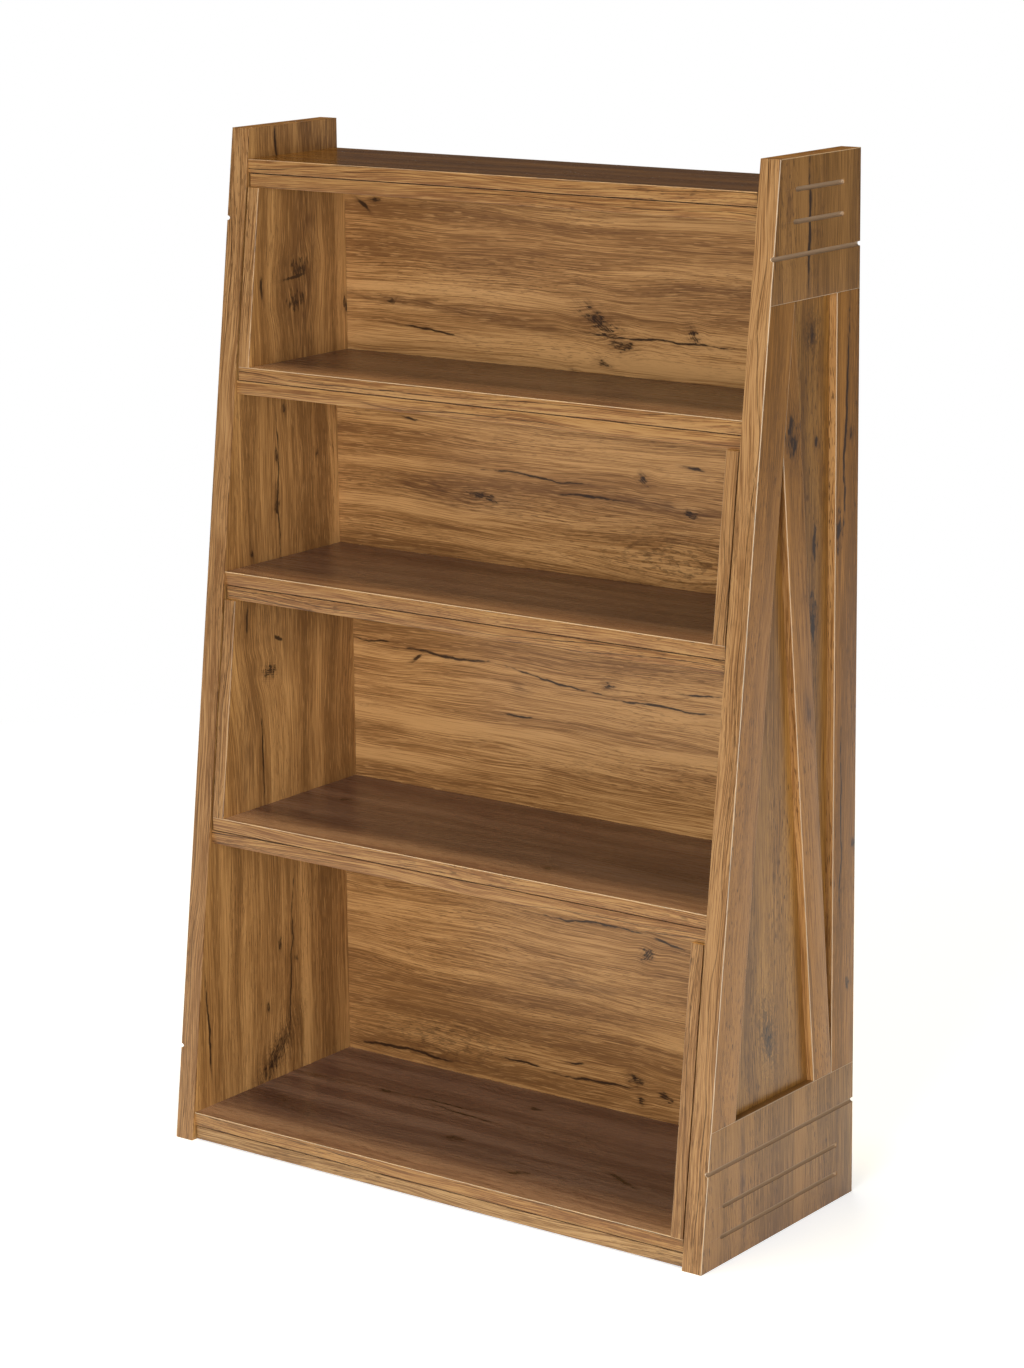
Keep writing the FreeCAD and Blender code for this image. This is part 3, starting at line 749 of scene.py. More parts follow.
@dataclass(frozen=True)
class TumbledMetal:
    """Zinc-plated or cast fittings: dull grey metal, clouded by handling in bulk."""

    name: str
    light: str
    dark: str
    roughness: float
    roughness_swing: float = 0.08
    cloud: float = 4.0
    cloud_detail: float = 4.0
    cloud_levels: tuple[float, float] = (0.3, 0.7)
    relief: float = 0.1
    relief_depth: float = 0.05

    def material(self) -> bpy.types.Material:
        """Makes the metal.

        Returns:
            The material.
        """
        material, wires = start_material(self.name)
        point = wires.add("TexCoord", output="Object")
        (scale,) = per_metre(self.cloud)
        clouds = wires.add("TexNoise", {"Vector": point, "Scale": scale, "Detail": self.cloud_detail})
        colour = wires.add("Mix", blend(clouds, linear(self.dark), linear(self.light)), **COLOUR_MIX)
        smooth = self.roughness - self.roughness_swing
        rough = self.roughness + self.roughness_swing
        gloss = wires.add("MapRange", span(clouds, *self.cloud_levels, smooth, rough))
        relief = {"Height": clouds, "Strength": self.relief, "Distance": self.relief_depth * MILLIMETRE}
        bump = wires.add("Bump", relief)
        close_material(wires, {"Base Color": colour, "Metallic": 1.0, "Roughness": gloss, "Normal": bump})
        return material


@dataclass(frozen=True)
class TurnedBeech:
    """Beech dowels, fluted and unfinished: pale pink-brown wood with fine short flecks along the grain."""

    name: str = "beech_dowel"
    light: str = "#D9B58A"
    dark: str = "#B98D60"
    fleck_length: float = 6.0
    fleck_width: float = 0.5
    fleck_detail: float = 2.0
    fleck_levels: tuple[float, float] = (0.3, 0.7)
    roughness: float = 0.7
    relief: float = 0.2
    relief_depth: float = 0.1

    def material(self) -> bpy.types.Material:
        """Makes the beech.

        Returns:
            The material.
        """
        material, wires = start_material(self.name)
        point = wires.add("TexCoord", output="Object")
        counts = per_metre(self.fleck_length, self.fleck_width, self.fleck_width)
        stretched = wires.add("VectorMath", {0: point, 1: counts}, operation="MULTIPLY")
        flecks = wires.add("TexNoise", {"Vector": stretched, "Scale": 1.0, "Detail": self.fleck_detail})
        share = wires.add("MapRange", span(flecks, *self.fleck_levels))
        colour = wires.add("Mix", blend(share, linear(self.dark), linear(self.light)), **COLOUR_MIX)
        relief = {"Height": flecks, "Strength": self.relief, "Distance": self.relief_depth * MILLIMETRE}
        bump = wires.add("Bump", relief)
        close_material(wires, {"Base Color": colour, "Roughness": self.roughness, "Normal": bump})
        return material


# The prints of one sheet family, which differ a little from sheet to sheet. The shelf and cover prints are
# # darker, greyer copies that paint the shade on the level tops.
OUTER_PRINT = OakPrint(
    "oak_print_outer_side", light="#A3753F", mid="#885F2B", brown="#6F4A20", steps=0.6, lines=0.1,
    fibres=1.7, pores=1.0,
)
RECESS_PRINT = replace(
    OUTER_PRINT, name="oak_print_recess", light="#AB7C3F", mid="#90642C", brown="#754E21",
)
LEG_PRINT = replace(
    OUTER_PRINT, name="oak_print_leg", light="#AD783A", mid="#916128", brown="#774E1D", specular=0.43,
)
INNER_PRINT = OakPrint(
    "oak_print_inner_side", light="#CB9B60", mid="#A57845", brown="#805930", steps=0.5, lines=0.15,
    fibres=0.9, pores=0.5,
)
# Painted shade: a greyer, darker copy of the oak print stands for the shade on the shelf tops.
SHADED_SHELF_PRINT = OakPrint(
    "oak_print_shelf", light="#9B7B67", mid="#7F6050", brown="#65473D", steps=0.25, lines=0.15,
    roughness=0.26,
)
# Painted shade: a darker copy of the oak print keeps the cover's top dark under the lamp above.
SHADED_COVER_PRINT = OakPrint(
    "oak_print_cover", light="#7D5829", mid="#664420", brown="#503417", steps=0.25, lines=0.15,
    roughness=0.2,
)
BACK_PRINT = OakPrint(
    "oak_print_back_panel", light="#BC8F5B", mid="#966B3E", brown="#724D2B", steps=0.4, lines=0.15,
    fibres=1.0, pores=0.5,
)
FRAME_BAND_PRINT = OakPrint(
    "oak_print_frame_band", light="#A98155", mid="#8E663D", brown="#75502E", steps=0.1, lines=0.85,
    fibres=2.3, pores=0.7, streak="#40270F",
)
BASE_BAND_PRINT = replace(
    FRAME_BAND_PRINT, name="oak_print_base_band", light="#B08B5E", mid="#946F43", brown="#7A5733",
    lines=1.0,
)
BOARD_BAND_PRINT = OakPrint(
    "oak_print_board_band", light="#A97F4D", mid="#8F6338", brown="#774E2A", steps=0.1, lines=1.0,
    fibres=2.3, pores=0.6, streak="#40270F",
)


class Side(Enum):
    """A side of the bookcase, with the sign of its X."""

    LEFT = -1
    RIGHT = 1

    @property
    def label(self) -> str:
        """The side's name as it stands in the nodes' names."""
        return self.name.lower()


class Sheet(Enum):
    """Which sheet of print a piece is cut from, as a step from its sub-assembly's own number."""

    def after(self, seed: float) -> float:
        """Gives the sheet's number in the sub-assembly that has this seed."""
        return seed + self.value


class BoxSheet(Sheet):
    """The sheets of a box after its floor's."""

    BAND = 0.5
    ROOF = 1.0
    BACK = 2.0
    END = 3.0
    END_BAND = 3.5


class FrameSheet(Sheet):
    """The sheets of a side frame after its side board's."""

    CROWN = 1.0
    PLINTH = 2.0
    FRONT_LEG = 3.0
    REAR_LEG = 4.0
    BRACE = 5.0
    FRONT_BAND = 6.0


@dataclass
class Shell:
    """The surface of one piece while it is put together from grids of points.

    Each grid keeps its own points, and points that lie in the same place are joined at the end, so that the
    seams close. Three numbers go with each point: arris, one where the edge is milled round, cut, the depth
    in a groove as a share of the groove's full depth, and banded, one on an edge that carries a band.
    """

    points: list[np.ndarray] = field(default_factory=list)
    marks: dict[str, list[np.ndarray]] = field(default_factory=lambda: {"arris": [], "cut": [], "banded": []})
    faces: list[list[int]] = field(default_factory=list)
    count: int = 0

    def add_grid(self, points: np.ndarray, **marks: np.ndarray) -> np.ndarray:
        """Adds a grid of points and a face between each four neighbours.

        Args:
            points: Places by row and column, with the three axes last.
            marks: The arris, cut and banded shares at the points, each zero where it isn't given.

        Returns:
            The points' numbers by row and column.
        """
        shape = points.shape[:-1]
        size = int(np.prod(shape))
        self.points.append(points.reshape(-1, 3))
        for label, shares in self.marks.items():
            shares.append(np.broadcast_to(marks.get(label, 0.0), shape).reshape(-1))
        numbers = np.arange(size).reshape(shape) + self.count
        self.count += size
        corners = (numbers[:-1, :-1], numbers[1:, :-1], numbers[1:, 1:], numbers[:-1, 1:])
        self.faces.extend(np.stack(corners, axis=-1).reshape(-1, 4).tolist())
        return numbers

    def add_cap(self, numbers: np.ndarray) -> None:
        """Closes a loop of points with one flat face."""
        self.faces.append(numbers.tolist())

    def finish(self, node: str, material: bpy.types.Material) -> bpy.types.Object:
        """Makes the piece that stands for a node: seams joined, faces outwards, riding where the node rides.

        Args:
            node: The node's name.
            material: The piece's finish.

        Returns:
            The piece.
        """
        mesh = bpy.data.meshes.new(f"{node}_dressed")
        mesh.from_pydata(np.concatenate(self.points), [], self.faces)
        for label, shares in self.marks.items():
            mesh.attributes.new(label, "FLOAT", "POINT").data.foreach_set("value", np.concatenate(shares))
        edit = bmesh.new()
        edit.from_mesh(mesh)
        bmesh.ops.remove_doubles(edit, verts=edit.verts, dist=JOIN_DISTANCE)
        bmesh.ops.dissolve_degenerate(edit, edges=edit.edges, dist=JOIN_DISTANCE)
        bmesh.ops.recalc_face_normals(edit, faces=edit.faces)
        edit.to_mesh(mesh)
        edit.free()
        mesh.polygons.foreach_set("use_smooth", np.ones(len(mesh.polygons), dtype=bool))
        mesh.set_sharp_from_angle(angle=SHARP_ANGLE)
        mesh.materials.append(material)
        piece = bpy.data.objects.new(f"{node}_dressed", mesh)
        bpy.context.scene.collection.objects.link(piece)
        cad_node = frame["nodes"][node]
        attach(piece, cad_node["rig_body"])
        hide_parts(node)
        log.info("made %s", piece.name)
        return piece


def dress(node: str, material: bpy.types.Material) -> None:
    """Gives a node that keeps its own mesh a finish.

    Args:
        node: The node's name.
        material: Its finish.
    """
    frame["nodes"][node].material_slots[0].material = material
    log.info("dressed %s", node)


def quarter_turn(steps: int) -> np.ndarray:
    """Gives the angles of a quarter circle in even steps, from nothing to a right angle."""
    return np.linspace(0.0, math.pi / 2, steps + 1)


def outer_face(node: str) -> tuple[float, float, float]:
    """Finds the outer face of a piece that lies on a side board.

    Args:
        node: The piece's node.

    Returns:
        The face's X, the sign of the way outwards and the piece's thickness.
    """
    low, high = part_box(node)
    outwards = 1.0 if low.x > 0.0 else -1.0
    face = high.x if outwards > 0.0 else low.x
    return face, outwards, high.x - low.x


@dataclass(frozen=True)
class EdgeBand:
    """A glued edge band: a strip with its two outer corners milled round.

    Attributes:
        node: The node that it stands for.
        near_milled: How pale the milled corner is where the width starts, from zero to one.
        far_milled: How pale it is where the width ends.
        near_easing: Radius of the corner where the width starts.
        far_easing: Radius of the corner where it ends.
        arc_steps: Steps in each quarter circle.
    """

    node: str
    near_milled: float
    far_milled: float
    near_easing: float = 0.8 * MILLIMETRE
    far_easing: float = 0.8 * MILLIMETRE
    arc_steps: int = 6

    def section(self, width: float, thickness: float) -> tuple[np.ndarray, np.ndarray]:
        """Gives the strip's section, from one glued corner round the outer face to the other.

        The outer corners are quarter circles: across = r - r cos a and depth = r - r sin a, mirrored at the
        far side.

        Args:
            width: Width of the strip.
            thickness: Thickness of the strip.

        Returns:
            Places across and in depth behind the outer face, and the milled share at each place.
        """
        turn = quarter_turn(self.arc_steps)
        corner = np.stack([1.0 - np.cos(turn), 1.0 - np.sin(turn)], axis=-1)
        milled = np.sqrt(np.sin(2.0 * turn))
        near = self.near_easing * corner
        far = np.array([width, 0.0]) + self.far_easing * corner[::-1] * np.array([-1.0, 1.0])
        glued = np.array([[0.0, thickness]])
        section = np.concatenate([glued, near, far, glued + np.array([[width, 0.0]])])
        marks = np.concatenate([[0.0], self.near_milled * milled, self.far_milled * milled[::-1], [0.0]])
        return section, marks

    def build(
        self, path: np.ndarray, across: Vector, width: float, thickness: float, material: bpy.types.Material,
        narrowing: np.ndarray | None = None,
    ) -> None:
        """Carries the section along a path: place = path + across times width share + depth to the rear.

        Args:
            path: Places of the section's first corner on the outer face.
            across: Unit vector over the strip's width.
            width: Width of the strip.
            thickness: Thickness of the strip, to the rear.
            material: The strip's finish.
            narrowing: How much of the width is cut away at each place of the path, or none.
        """
        section, marks = self.section(width, thickness)
        kept = np.ones(len(path)) if narrowing is None else 1.0 - narrowing / width
        over = section[None, :, :1] * kept[:, None, None] * np.array(across)[None, None, :]
        back = section[None, :, 1:] * np.array((0.0, 1.0, 0.0))[None, None, :]
        points = path[:, None, :] + over + back
        closed = np.concatenate([points, points[:, :1]], axis=1)
        closed_marks = np.append(marks, marks[0])
        shell = Shell()
        numbers = shell.add_grid(closed, arris=closed_marks)
        shell.add_cap(numbers[0, :-1])
        shell.add_cap(numbers[-1, :-1])
        shell.finish(self.node, material)


@dataclass(frozen=True)
class BoardWithBand:
    """A level board and the band on its front edge.

    Attributes:
        node: The board's node.
        seed: Number of its sheet of print.
        flaws: Marks of the print on the board.
        top_milled: How pale the band's upper corner is. It is turned down where another
        board lies on it, which paints the shade in the seam.
        board_print: The board's print.
        band_print: The band's print.
        lower_easing: Radius of the band's lower corner, which shades the seam under the board.
    """

    node: str
    seed: float
    flaws: tuple[Flaw, ...] = ()
    top_milled: float = 0.8
    board_print: OakPrint = SHADED_SHELF_PRINT
    band_print: OakPrint = BOARD_BAND_PRINT
    lower_easing: float = 1.2 * MILLIMETRE

    def build(self) -> None:
        """Dresses the board and makes its band, a straight strip from end to end."""
        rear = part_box(self.node)[1].y
        dress(self.node, self.board_print.material(self.node, Lay.SHELF, self.seed, self.flaws, rear=rear))
        band = f"{self.node}_edge_band"
        low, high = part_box(band)
        path = np.array([(low.x, low.y, low.z), (high.x, low.y, low.z)])
        finish = self.band_print.material(band, Lay.BACK, BoxSheet.BAND.after(self.seed))
        # Painted shade at the seams: the pale milled line is left off the lower corner and turned down on an
        # upper corner under another board.
        strip = EdgeBand(band, near_milled=0.0, far_milled=self.top_milled, near_easing=self.lower_easing)
        strip.build(path, Vector((0.0, 0.0, 1.0)), high.z - low.z, high.y - low.y, finish)


@dataclass(frozen=True)
class FrontLine:
    """The line that the frames' fronts lean back along.

    Attributes:
        foot: Place of the foot's front.
        slope: Lean to the rear for each unit of height.
        band_thickness: Thickness of the frames' front bands.
    """

    foot: float
    slope: float
    band_thickness: float

    @classmethod
    def measure(cls, node: str, band_thickness: float) -> "FrontLine":
        """Measures the line on a frame's front band, whose box is as deep as its lean and its thickness."""
        low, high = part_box(node)
        slope = (high.y - low.y - band_thickness) / (high.z - low.z)
        return cls(low.y, slope, band_thickness)

    def at(self, height: np.ndarray | float) -> np.ndarray | float:
        """Gives the frames' front at a height."""
        return self.foot + self.slope * height


@dataclass(frozen=True)
class CompartmentBox:
    """A floor and a roof closed by an end panel at the free end and by a back panel.

    Attributes:
        name: The box's name, which its nodes' names start with.
        seed: Number of its sheets of print.
        front: The line that the end panel's front follows.
        back_flaws: Marks of the print on the back panel.
        end_flaws: Marks on the end panel.
        floor_flaws: Marks on the floor.
        gap_easing: Radius of the end band's corner beside the gap.
        inner_milled: How pale the end band's inner corner is, from zero to one.
        roof_milled: How pale the roof band's upper corner is, under the next board: turned
        down to paint the shade in the seam.
    """

    name: str
    seed: float
    front: FrontLine
    back_flaws: tuple[Flaw, ...] = ()
    end_flaws: tuple[Flaw, ...] = ()
    floor_flaws: tuple[Flaw, ...] = ()
    gap_easing: float = 0.2 * MILLIMETRE
    inner_milled: float = 0.25
    roof_milled: float = 0.1

    def build(self) -> None:
        """Builds the box's pieces in order."""
        BoardWithBand(f"{self.name}_floor", self.seed, self.floor_flaws).build()
        roof_sheet = BoxSheet.ROOF.after(self.seed)
        BoardWithBand(f"{self.name}_roof", roof_sheet, top_milled=self.roof_milled).build()
        back = f"{self.name}_back_panel"
        dress(back, BACK_PRINT.material(back, Lay.BACK, BoxSheet.BACK.after(self.seed), self.back_flaws))
        end = f"{self.name}_end_panel"
        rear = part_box(end)[1].y
        sheet = BoxSheet.END.after(self.seed)
        dress(end, INNER_PRINT.material(end, Lay.SIDE, sheet, self.end_flaws, rear=rear))
        self.build_end_band(f"{end}_edge_band")

    def build_end_band(self, node: str) -> None:
        """Makes the end panel's band, which leans back as the frames do.

        Args:
            node: The band's node.
        """
        low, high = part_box(node)
        lean = self.front.slope * (high.z - low.z)
        path = np.array([(low.x, low.y, low.z), (low.x, low.y + lean, high.z)])
        finish = FRAME_BAND_PRINT.material(node, Lay.EDGE, BoxSheet.END_BAND.after(self.seed))
        thickness = high.y - low.y - lean
        strip = EdgeBand(node, near_milled=0.0, far_milled=self.inner_milled, near_easing=self.gap_easing)
        if low.x > 0.0:
            strip = EdgeBand(node, near_milled=self.inner_milled, far_milled=0.0, far_easing=self.gap_easing)
        strip.build(path, Vector((1.0, 0.0, 0.0)), high.x - low.x, thickness, finish)


@dataclass(frozen=True)
class Slab:
    """A flat piece glued to a side board: an outline with the arrises of some of its edges milled round.

    Attributes:
        node: The node that it stands for.
        corners: Corners of the outline as (Y, Z), in order.
        eased: Which edges are milled, each from its corner to the next.
        milled: How pale the milled arris is, from zero to one.
        easing: Radius of the milled arris.
        arc_steps: Steps in the quarter circle.
        band_start: Depth, in radii of the arris, from which the edge shows its band.
    """

    node: str
    corners: tuple[tuple[float, float], ...]
    eased: tuple[bool, ...]
    milled: float = 0.55
    easing: float = 0.7 * MILLIMETRE
    arc_steps: int = 5
    band_start: float = 1.4

    def inset(self, distances: np.ndarray) -> np.ndarray:
        """Moves every edge inwards and gives the new corners.

        A corner's move m solves m . n1 = d1 and m . n2 = d2, where n1 and n2 are the inward normals of its
        two edges and d1 and d2 are the distances that these edges move.

        Args:
            distances: Distance for each ring, the same for every milled edge.

        Returns:
            Corners by ring, as (Y, Z).
        """
        corners = np.array(self.corners)
        run = np.roll(corners, -1, axis=0) - corners
        run = run / np.linalg.norm(run, axis=1, keepdims=True)
        turn = np.sign(np.cross(run[0], run[1]))
        normal = turn * np.stack([-run[:, 1], run[:, 0]], axis=-1)
        normals = np.stack([np.roll(normal, 1, axis=0), normal], axis=1)
        milled = np.array(self.eased, dtype=float)
        shares = np.stack([np.roll(milled, 1), milled], axis=-1)
        moves = np.linalg.solve(normals, shares[:, :, None])[:, :, 0]
        return corners[None] + distances[:, None, None] * moves[None]

    def build(self, material: bpy.types.Material) -> None:
        """Carries a quarter circle round the outline: inset = r - r sin a and depth = r - r cos a.

        Args:
            material: The slab's finish.
        """
        face, outwards, thickness = outer_face(self.node)
        turn = quarter_turn(self.arc_steps)
        insets = np.concatenate([self.easing * (1.0 - np.sin(turn)), [0.0, 0.0]])
        wall = [self.band_start * self.easing, thickness]
        depths = np.concatenate([self.easing * (1.0 - np.cos(turn)), wall])
        marks = np.concatenate([[0.0], np.full(self.arc_steps, self.milled), [0.0, 0.0]])
        banded = np.concatenate([np.zeros(self.arc_steps + 1), [1.0, 1.0]])
        outline = self.inset(insets)
        across = np.broadcast_to((face - outwards * depths)[:, None, None], outline.shape[:2] + (1,))
        rings = np.concatenate([across, outline], axis=-1)
        closed = np.concatenate([rings, rings[:, :1]], axis=1)
        shell = Shell()
        numbers = shell.add_grid(closed, arris=marks[:, None], banded=banded[:, None])
        shell.add_cap(numbers[0, :-1])
        shell.add_cap(numbers[-1, :-1])
        shell.finish(self.node, material)


@dataclass(frozen=True)
class Groove:
    """A round-bottomed groove across a panel.

    Attributes:
        height: Height of its middle line.
        inset: Distance from its round ends to the panel's front and rear, or none where it runs out at both.
    """

    height: float
    inset: float | None = None


@dataclass(frozen=True)
class GroovedPanel:
    """A crown or plinth panel: a sloping front, a milled border and grooves across its outer face.

    Attributes:
        node: The node that it stands for.
        front: The line that its front follows.
        grooves: Its grooves.
        eased_bottom: Whether the lower arris is milled.
        eased_top: Whether the upper arris is milled.
        groove_width: Width of a groove.
        groove_depth: Depth of a groove.
        milled: How pale the milled arris is, from zero to one.
        easing: Radius of the milled arris.
        border_steps: Steps of the grid over the milled arris.
        groove_steps: Steps of the grid over half a groove's width.
        lead: Distance in radii from a short groove's end to the column before it.
        run: Distance in radii from a short groove's end to the last column of its own.
        arris_share: Share of the arris that is pale.
        band_start: Depth, in radii of the arris, below the face's border from which the edge shows its band.
    """

    node: str
    front: FrontLine
    grooves: tuple[Groove, ...]
    eased_bottom: bool
    eased_top: bool
    groove_width: float = 5.0 * MILLIMETRE
    groove_depth: float = 3.5 * MILLIMETRE
    milled: float = 0.65
    easing: float = 0.7 * MILLIMETRE
    border_steps: int = 5
    groove_steps: int = 9
    lead: float = 0.25
    run: float = 3.0
    arris_share: float = 0.9
    band_start: float = 0.4

    @property
    def radius(self) -> float:
        """Half the width of a groove."""
        return self.groove_width / 2

    @property
    def border_places(self) -> np.ndarray:
        """Distances from an edge at which the grid crosses its milled arris."""
        return self.easing * (1.0 - np.cos(quarter_turn(self.border_steps)))

    def rows(self, low: float, high: float) -> np.ndarray:
        """Gives the heights of the grid's rows, close together in the grooves and along the border."""
        bow = -np.cos(np.linspace(0.0, math.pi, 2 * self.groove_steps + 1))
        stretches = [low + self.border_places, high - self.border_places]
        stretches += [groove.height + self.radius * bow for groove in self.grooves]
        return np.unique(np.round(np.concatenate(stretches), 7))

    def offsets(self) -> tuple[np.ndarray, np.ndarray]:
        """Gives the grid's columns as distances from the front and from the rear."""
        inset = max(groove.inset or 0.0 for groove in self.grooves)
        bow = 1.0 - np.cos(quarter_turn(self.groove_steps + 1))
        groove_end = inset + self.radius * np.concatenate([[-self.lead], bow, [self.run]])
        front = np.concatenate([[0.0], groove_end - self.front.band_thickness])
        rear = np.concatenate([self.border_places, groove_end])
        return front, rear[::-1]

    def sink(self, depth_at: np.ndarray, height: np.ndarray, rear: float) -> np.ndarray:
        """Gives the depth of the grooves: full depth times the root of one minus (distance / radius) squared.

        Args:
            depth_at: Place of each grid point from front to rear.
            height: Height of each grid point.
            rear: Place of the panel's rear.

        Returns:
            Depth at each grid point.
        """
        sunk = np.zeros_like(depth_at)
        for groove in self.grooves:
            beyond = np.zeros_like(depth_at)
            if groove.inset is not None:
                start = self.front.at(groove.height) + groove.inset + self.radius
                end = rear - groove.inset - self.radius
                beyond = np.maximum(np.maximum(start - depth_at, depth_at - end), 0.0)
            distance = np.hypot(beyond, height - groove.height) / self.radius
            sunk = np.maximum(sunk, self.groove_depth * np.sqrt(np.clip(1.0 - distance ** 2, 0.0, None)))
        return sunk

    def border(self, distance: np.ndarray) -> np.ndarray:
        """Gives how far a milled border lies below the face at a distance from the edge: a quarter circle."""
        short = np.clip(self.easing - distance, 0.0, self.easing)
        return self.easing - np.sqrt(self.easing ** 2 - short ** 2)

    def build(self, material: bpy.types.Material) -> None:
        """Makes the face as a grid of heights and columns, and closes it with walls and a back.

        Args:
            material: The panel's finish.
        """
        low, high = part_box(self.node)
        face, outwards, thickness = outer_face(self.node)
        heights = self.rows(low.z, high.z)
        from_front, from_rear = self.offsets()
        front_edge = self.front.at(heights)[:, None] + self.front.band_thickness
        rear_places = np.repeat((high.y - from_rear)[None, :], len(heights), axis=0)
        places = np.concatenate([front_edge + from_front[None, :], rear_places], axis=1)
        levels = np.repeat(heights[:, None], places.shape[1], axis=1)
        edge_distances = [high.y - places]
        if self.eased_bottom:
            edge_distances.append(levels - low.z)
        if self.eased_top:
            edge_distances.append(high.z - levels)
        nearest = np.minimum.reduce(edge_distances)
        milled = self.border(nearest)
        sunk = self.sink(places, levels, high.y)
        depth = np.maximum(milled, sunk)
        arris = np.where(nearest < self.arris_share * self.easing, self.milled, 0.0)
        cut = sunk / self.groove_depth
        surface = np.stack([face - outwards * depth, places, levels], axis=-1)
        shell = Shell()
        shell.add_grid(surface, arris=arris, cut=cut)

        def round_border(grid: np.ndarray) -> np.ndarray:
            """Takes the grid's border as one closed loop."""
            return np.concatenate([grid[0], grid[1:, -1], grid[-1, -2::-1], grid[-2::-1, 0]])

        loop = round_border(surface)
        lip = loop - np.array((outwards * self.band_start * self.easing, 0.0, 0.0))
        rear_loop = loop.copy()
        rear_loop[:, X_AXIS] = face - outwards * thickness
        loop_arris = round_border(arris)
        loop_cut = round_border(cut)
        none = np.zeros_like(loop_arris)
        shell.add_grid(
            np.stack([loop, lip, rear_loop]),
            arris=np.stack([loop_arris, none, none]),
            cut=np.stack([loop_cut, none, none]),
            banded=np.array([[0.0], [1.0], [1.0]]),
        )
        back = surface.copy()
        back[:, :, X_AXIS] = face - outwards * thickness
        shell.add_grid(back)
        shell.finish(self.node, material)


@dataclass(frozen=True)
class SideFrame:
    """One side of the bookcase: a side board under a crown, a plinth, two legs and a brace, and a front band.

    Attributes:
        side: Which side it is.
        front: The line that its front follows.
        seed: Number of its sheets of print.
        board_print: The side board's print.
        board_flaws: Marks of that print.
        crown_flaws: Marks on the crown.
        plinth_flaws: Marks on the plinth.
        rear_leg_flaws: Marks on the rear leg.
        brace_flaws: Marks on the brace.
        groove_depth: Depth of the grooves.
        groove_width: Width of the grooves.
        short_inset: Distance from the short grooves' ends to the panels' front and rear.
        crown_short_drops: Distances from the crown's top down to its short grooves.
        crown_long_drop: Distance from the crown's top down to its long groove.
        plinth_short_rises: Heights of the plinth's short grooves.
        plinth_long_rise: Height of the plinth's long groove.
        brace_width: Width of the brace at its foot.
        inner_easing: Radius of the front band's inner corner.
        outer_milled: How pale the front band's outer corner is, from zero to one.
        notch_steps: Steps over half a notch in the front band.
    """

    side: Side
    front: FrontLine
    seed: float
    board_print: OakPrint
    board_flaws: tuple[Flaw, ...] = ()
    crown_flaws: tuple[Flaw, ...] = ()
    plinth_flaws: tuple[Flaw, ...] = ()
    rear_leg_flaws: tuple[Flaw, ...] = ()
    brace_flaws: tuple[Flaw, ...] = ()
    groove_depth: float = 3.5 * MILLIMETRE
    groove_width: float = 5.0 * MILLIMETRE
    short_inset: float = 32.0 * MILLIMETRE
    crown_short_drops: tuple[float, float] = (32.0 * MILLIMETRE, 64.5 * MILLIMETRE)
    crown_long_drop: float = 98.5 * MILLIMETRE
    plinth_short_rises: tuple[float, float] = (30.5 * MILLIMETRE, 63.0 * MILLIMETRE)
    plinth_long_rise: float = 105.0 * MILLIMETRE
    brace_width: float = 35.0 * MILLIMETRE
    inner_easing: float = 0.2 * MILLIMETRE
    outer_milled: float = 0.65
    notch_steps: int = 7

    def node(self, name: str) -> str:
        """Gives the full name of one of this side's nodes."""
        return f"{self.side.label}_{name}"

    def build(self) -> None:
        """Builds the frame's pieces in order."""
        board = self.node("side_board")
        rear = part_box(board)[1].y
        dress(board, self.board_print.material(board, Lay.SIDE, self.seed, self.board_flaws, rear=rear))
        self.build_panels()
        self.build_legs()
        self.build_brace()
        self.build_band()

    def build_panels(self) -> None:
        """Makes the grooved crown and plinth."""
        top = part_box(self.node("crown_panel"))[1].z
        crown = [Groove(top - drop, self.short_inset) for drop in self.crown_short_drops]
        crown.append(Groove(top - self.crown_long_drop))
        plinth = [Groove(rise, self.short_inset) for rise in self.plinth_short_rises]
        plinth.append(Groove(self.plinth_long_rise))
        for name, grooves, flaws, eased_bottom, sheet in (
            ("crown_panel", crown, self.crown_flaws, True, FrameSheet.CROWN),
            ("plinth_panel", plinth, self.plinth_flaws, False, FrameSheet.PLINTH),
        ):
            node = self.node(name)
            finish = OUTER_PRINT.material(node, Lay.SIDE, sheet.after(self.seed), flaws)
            panel = GroovedPanel(node, self.front, tuple(grooves), eased_bottom, eased_top=True)
            panel.build(finish)

    def build_legs(self) -> None:
        """Makes the leaning front leg and the upright rear leg."""
        leg = self.node("front_leg")
        low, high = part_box(leg)
        lean = self.front.slope * (high.z - low.z)
        corners = ((low.y, low.z), (high.y - lean, low.z), (high.y, high.z), (low.y + lean, high.z))
        tilt = math.atan(self.front.slope)
        finish = LEG_PRINT.material(leg, Lay.SIDE, FrameSheet.FRONT_LEG.after(self.seed), tilt=tilt)
        Slab(leg, corners, (False, True, False, False)).build(finish)
        leg = self.node("rear_leg")
        low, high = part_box(leg)
        corners = ((low.y, low.z), (high.y, low.z), (high.y, high.z), (low.y, high.z))
        finish = LEG_PRINT.material(leg, Lay.SIDE, FrameSheet.REAR_LEG.after(self.seed), self.rear_leg_flaws)
        Slab(leg, corners, (False, True, False, True)).build(finish)

    def build_brace(self) -> None:
        """Makes the brace, from the rear leg's foot to the front leg's head, where it is cut to the leg."""
        brace = self.node("diagonal_brace")
        low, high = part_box(brace)
        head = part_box(self.node("front_leg"))[1].y
        lean = (high.y - head) / (high.z - low.z)
        drop = self.brace_width / (lean + self.front.slope)
        corners = (
            (high.y - self.brace_width, low.z),
            (high.y, low.z),
            (head, high.z),
            (head - self.front.slope * drop, high.z - drop),
        )
        sheet = FrameSheet.BRACE.after(self.seed)
        finish = LEG_PRINT.material(brace, Lay.SIDE, sheet, self.brace_flaws, tilt=-math.atan(lean))
        Slab(brace, corners, (False, True, False, True)).build(finish)

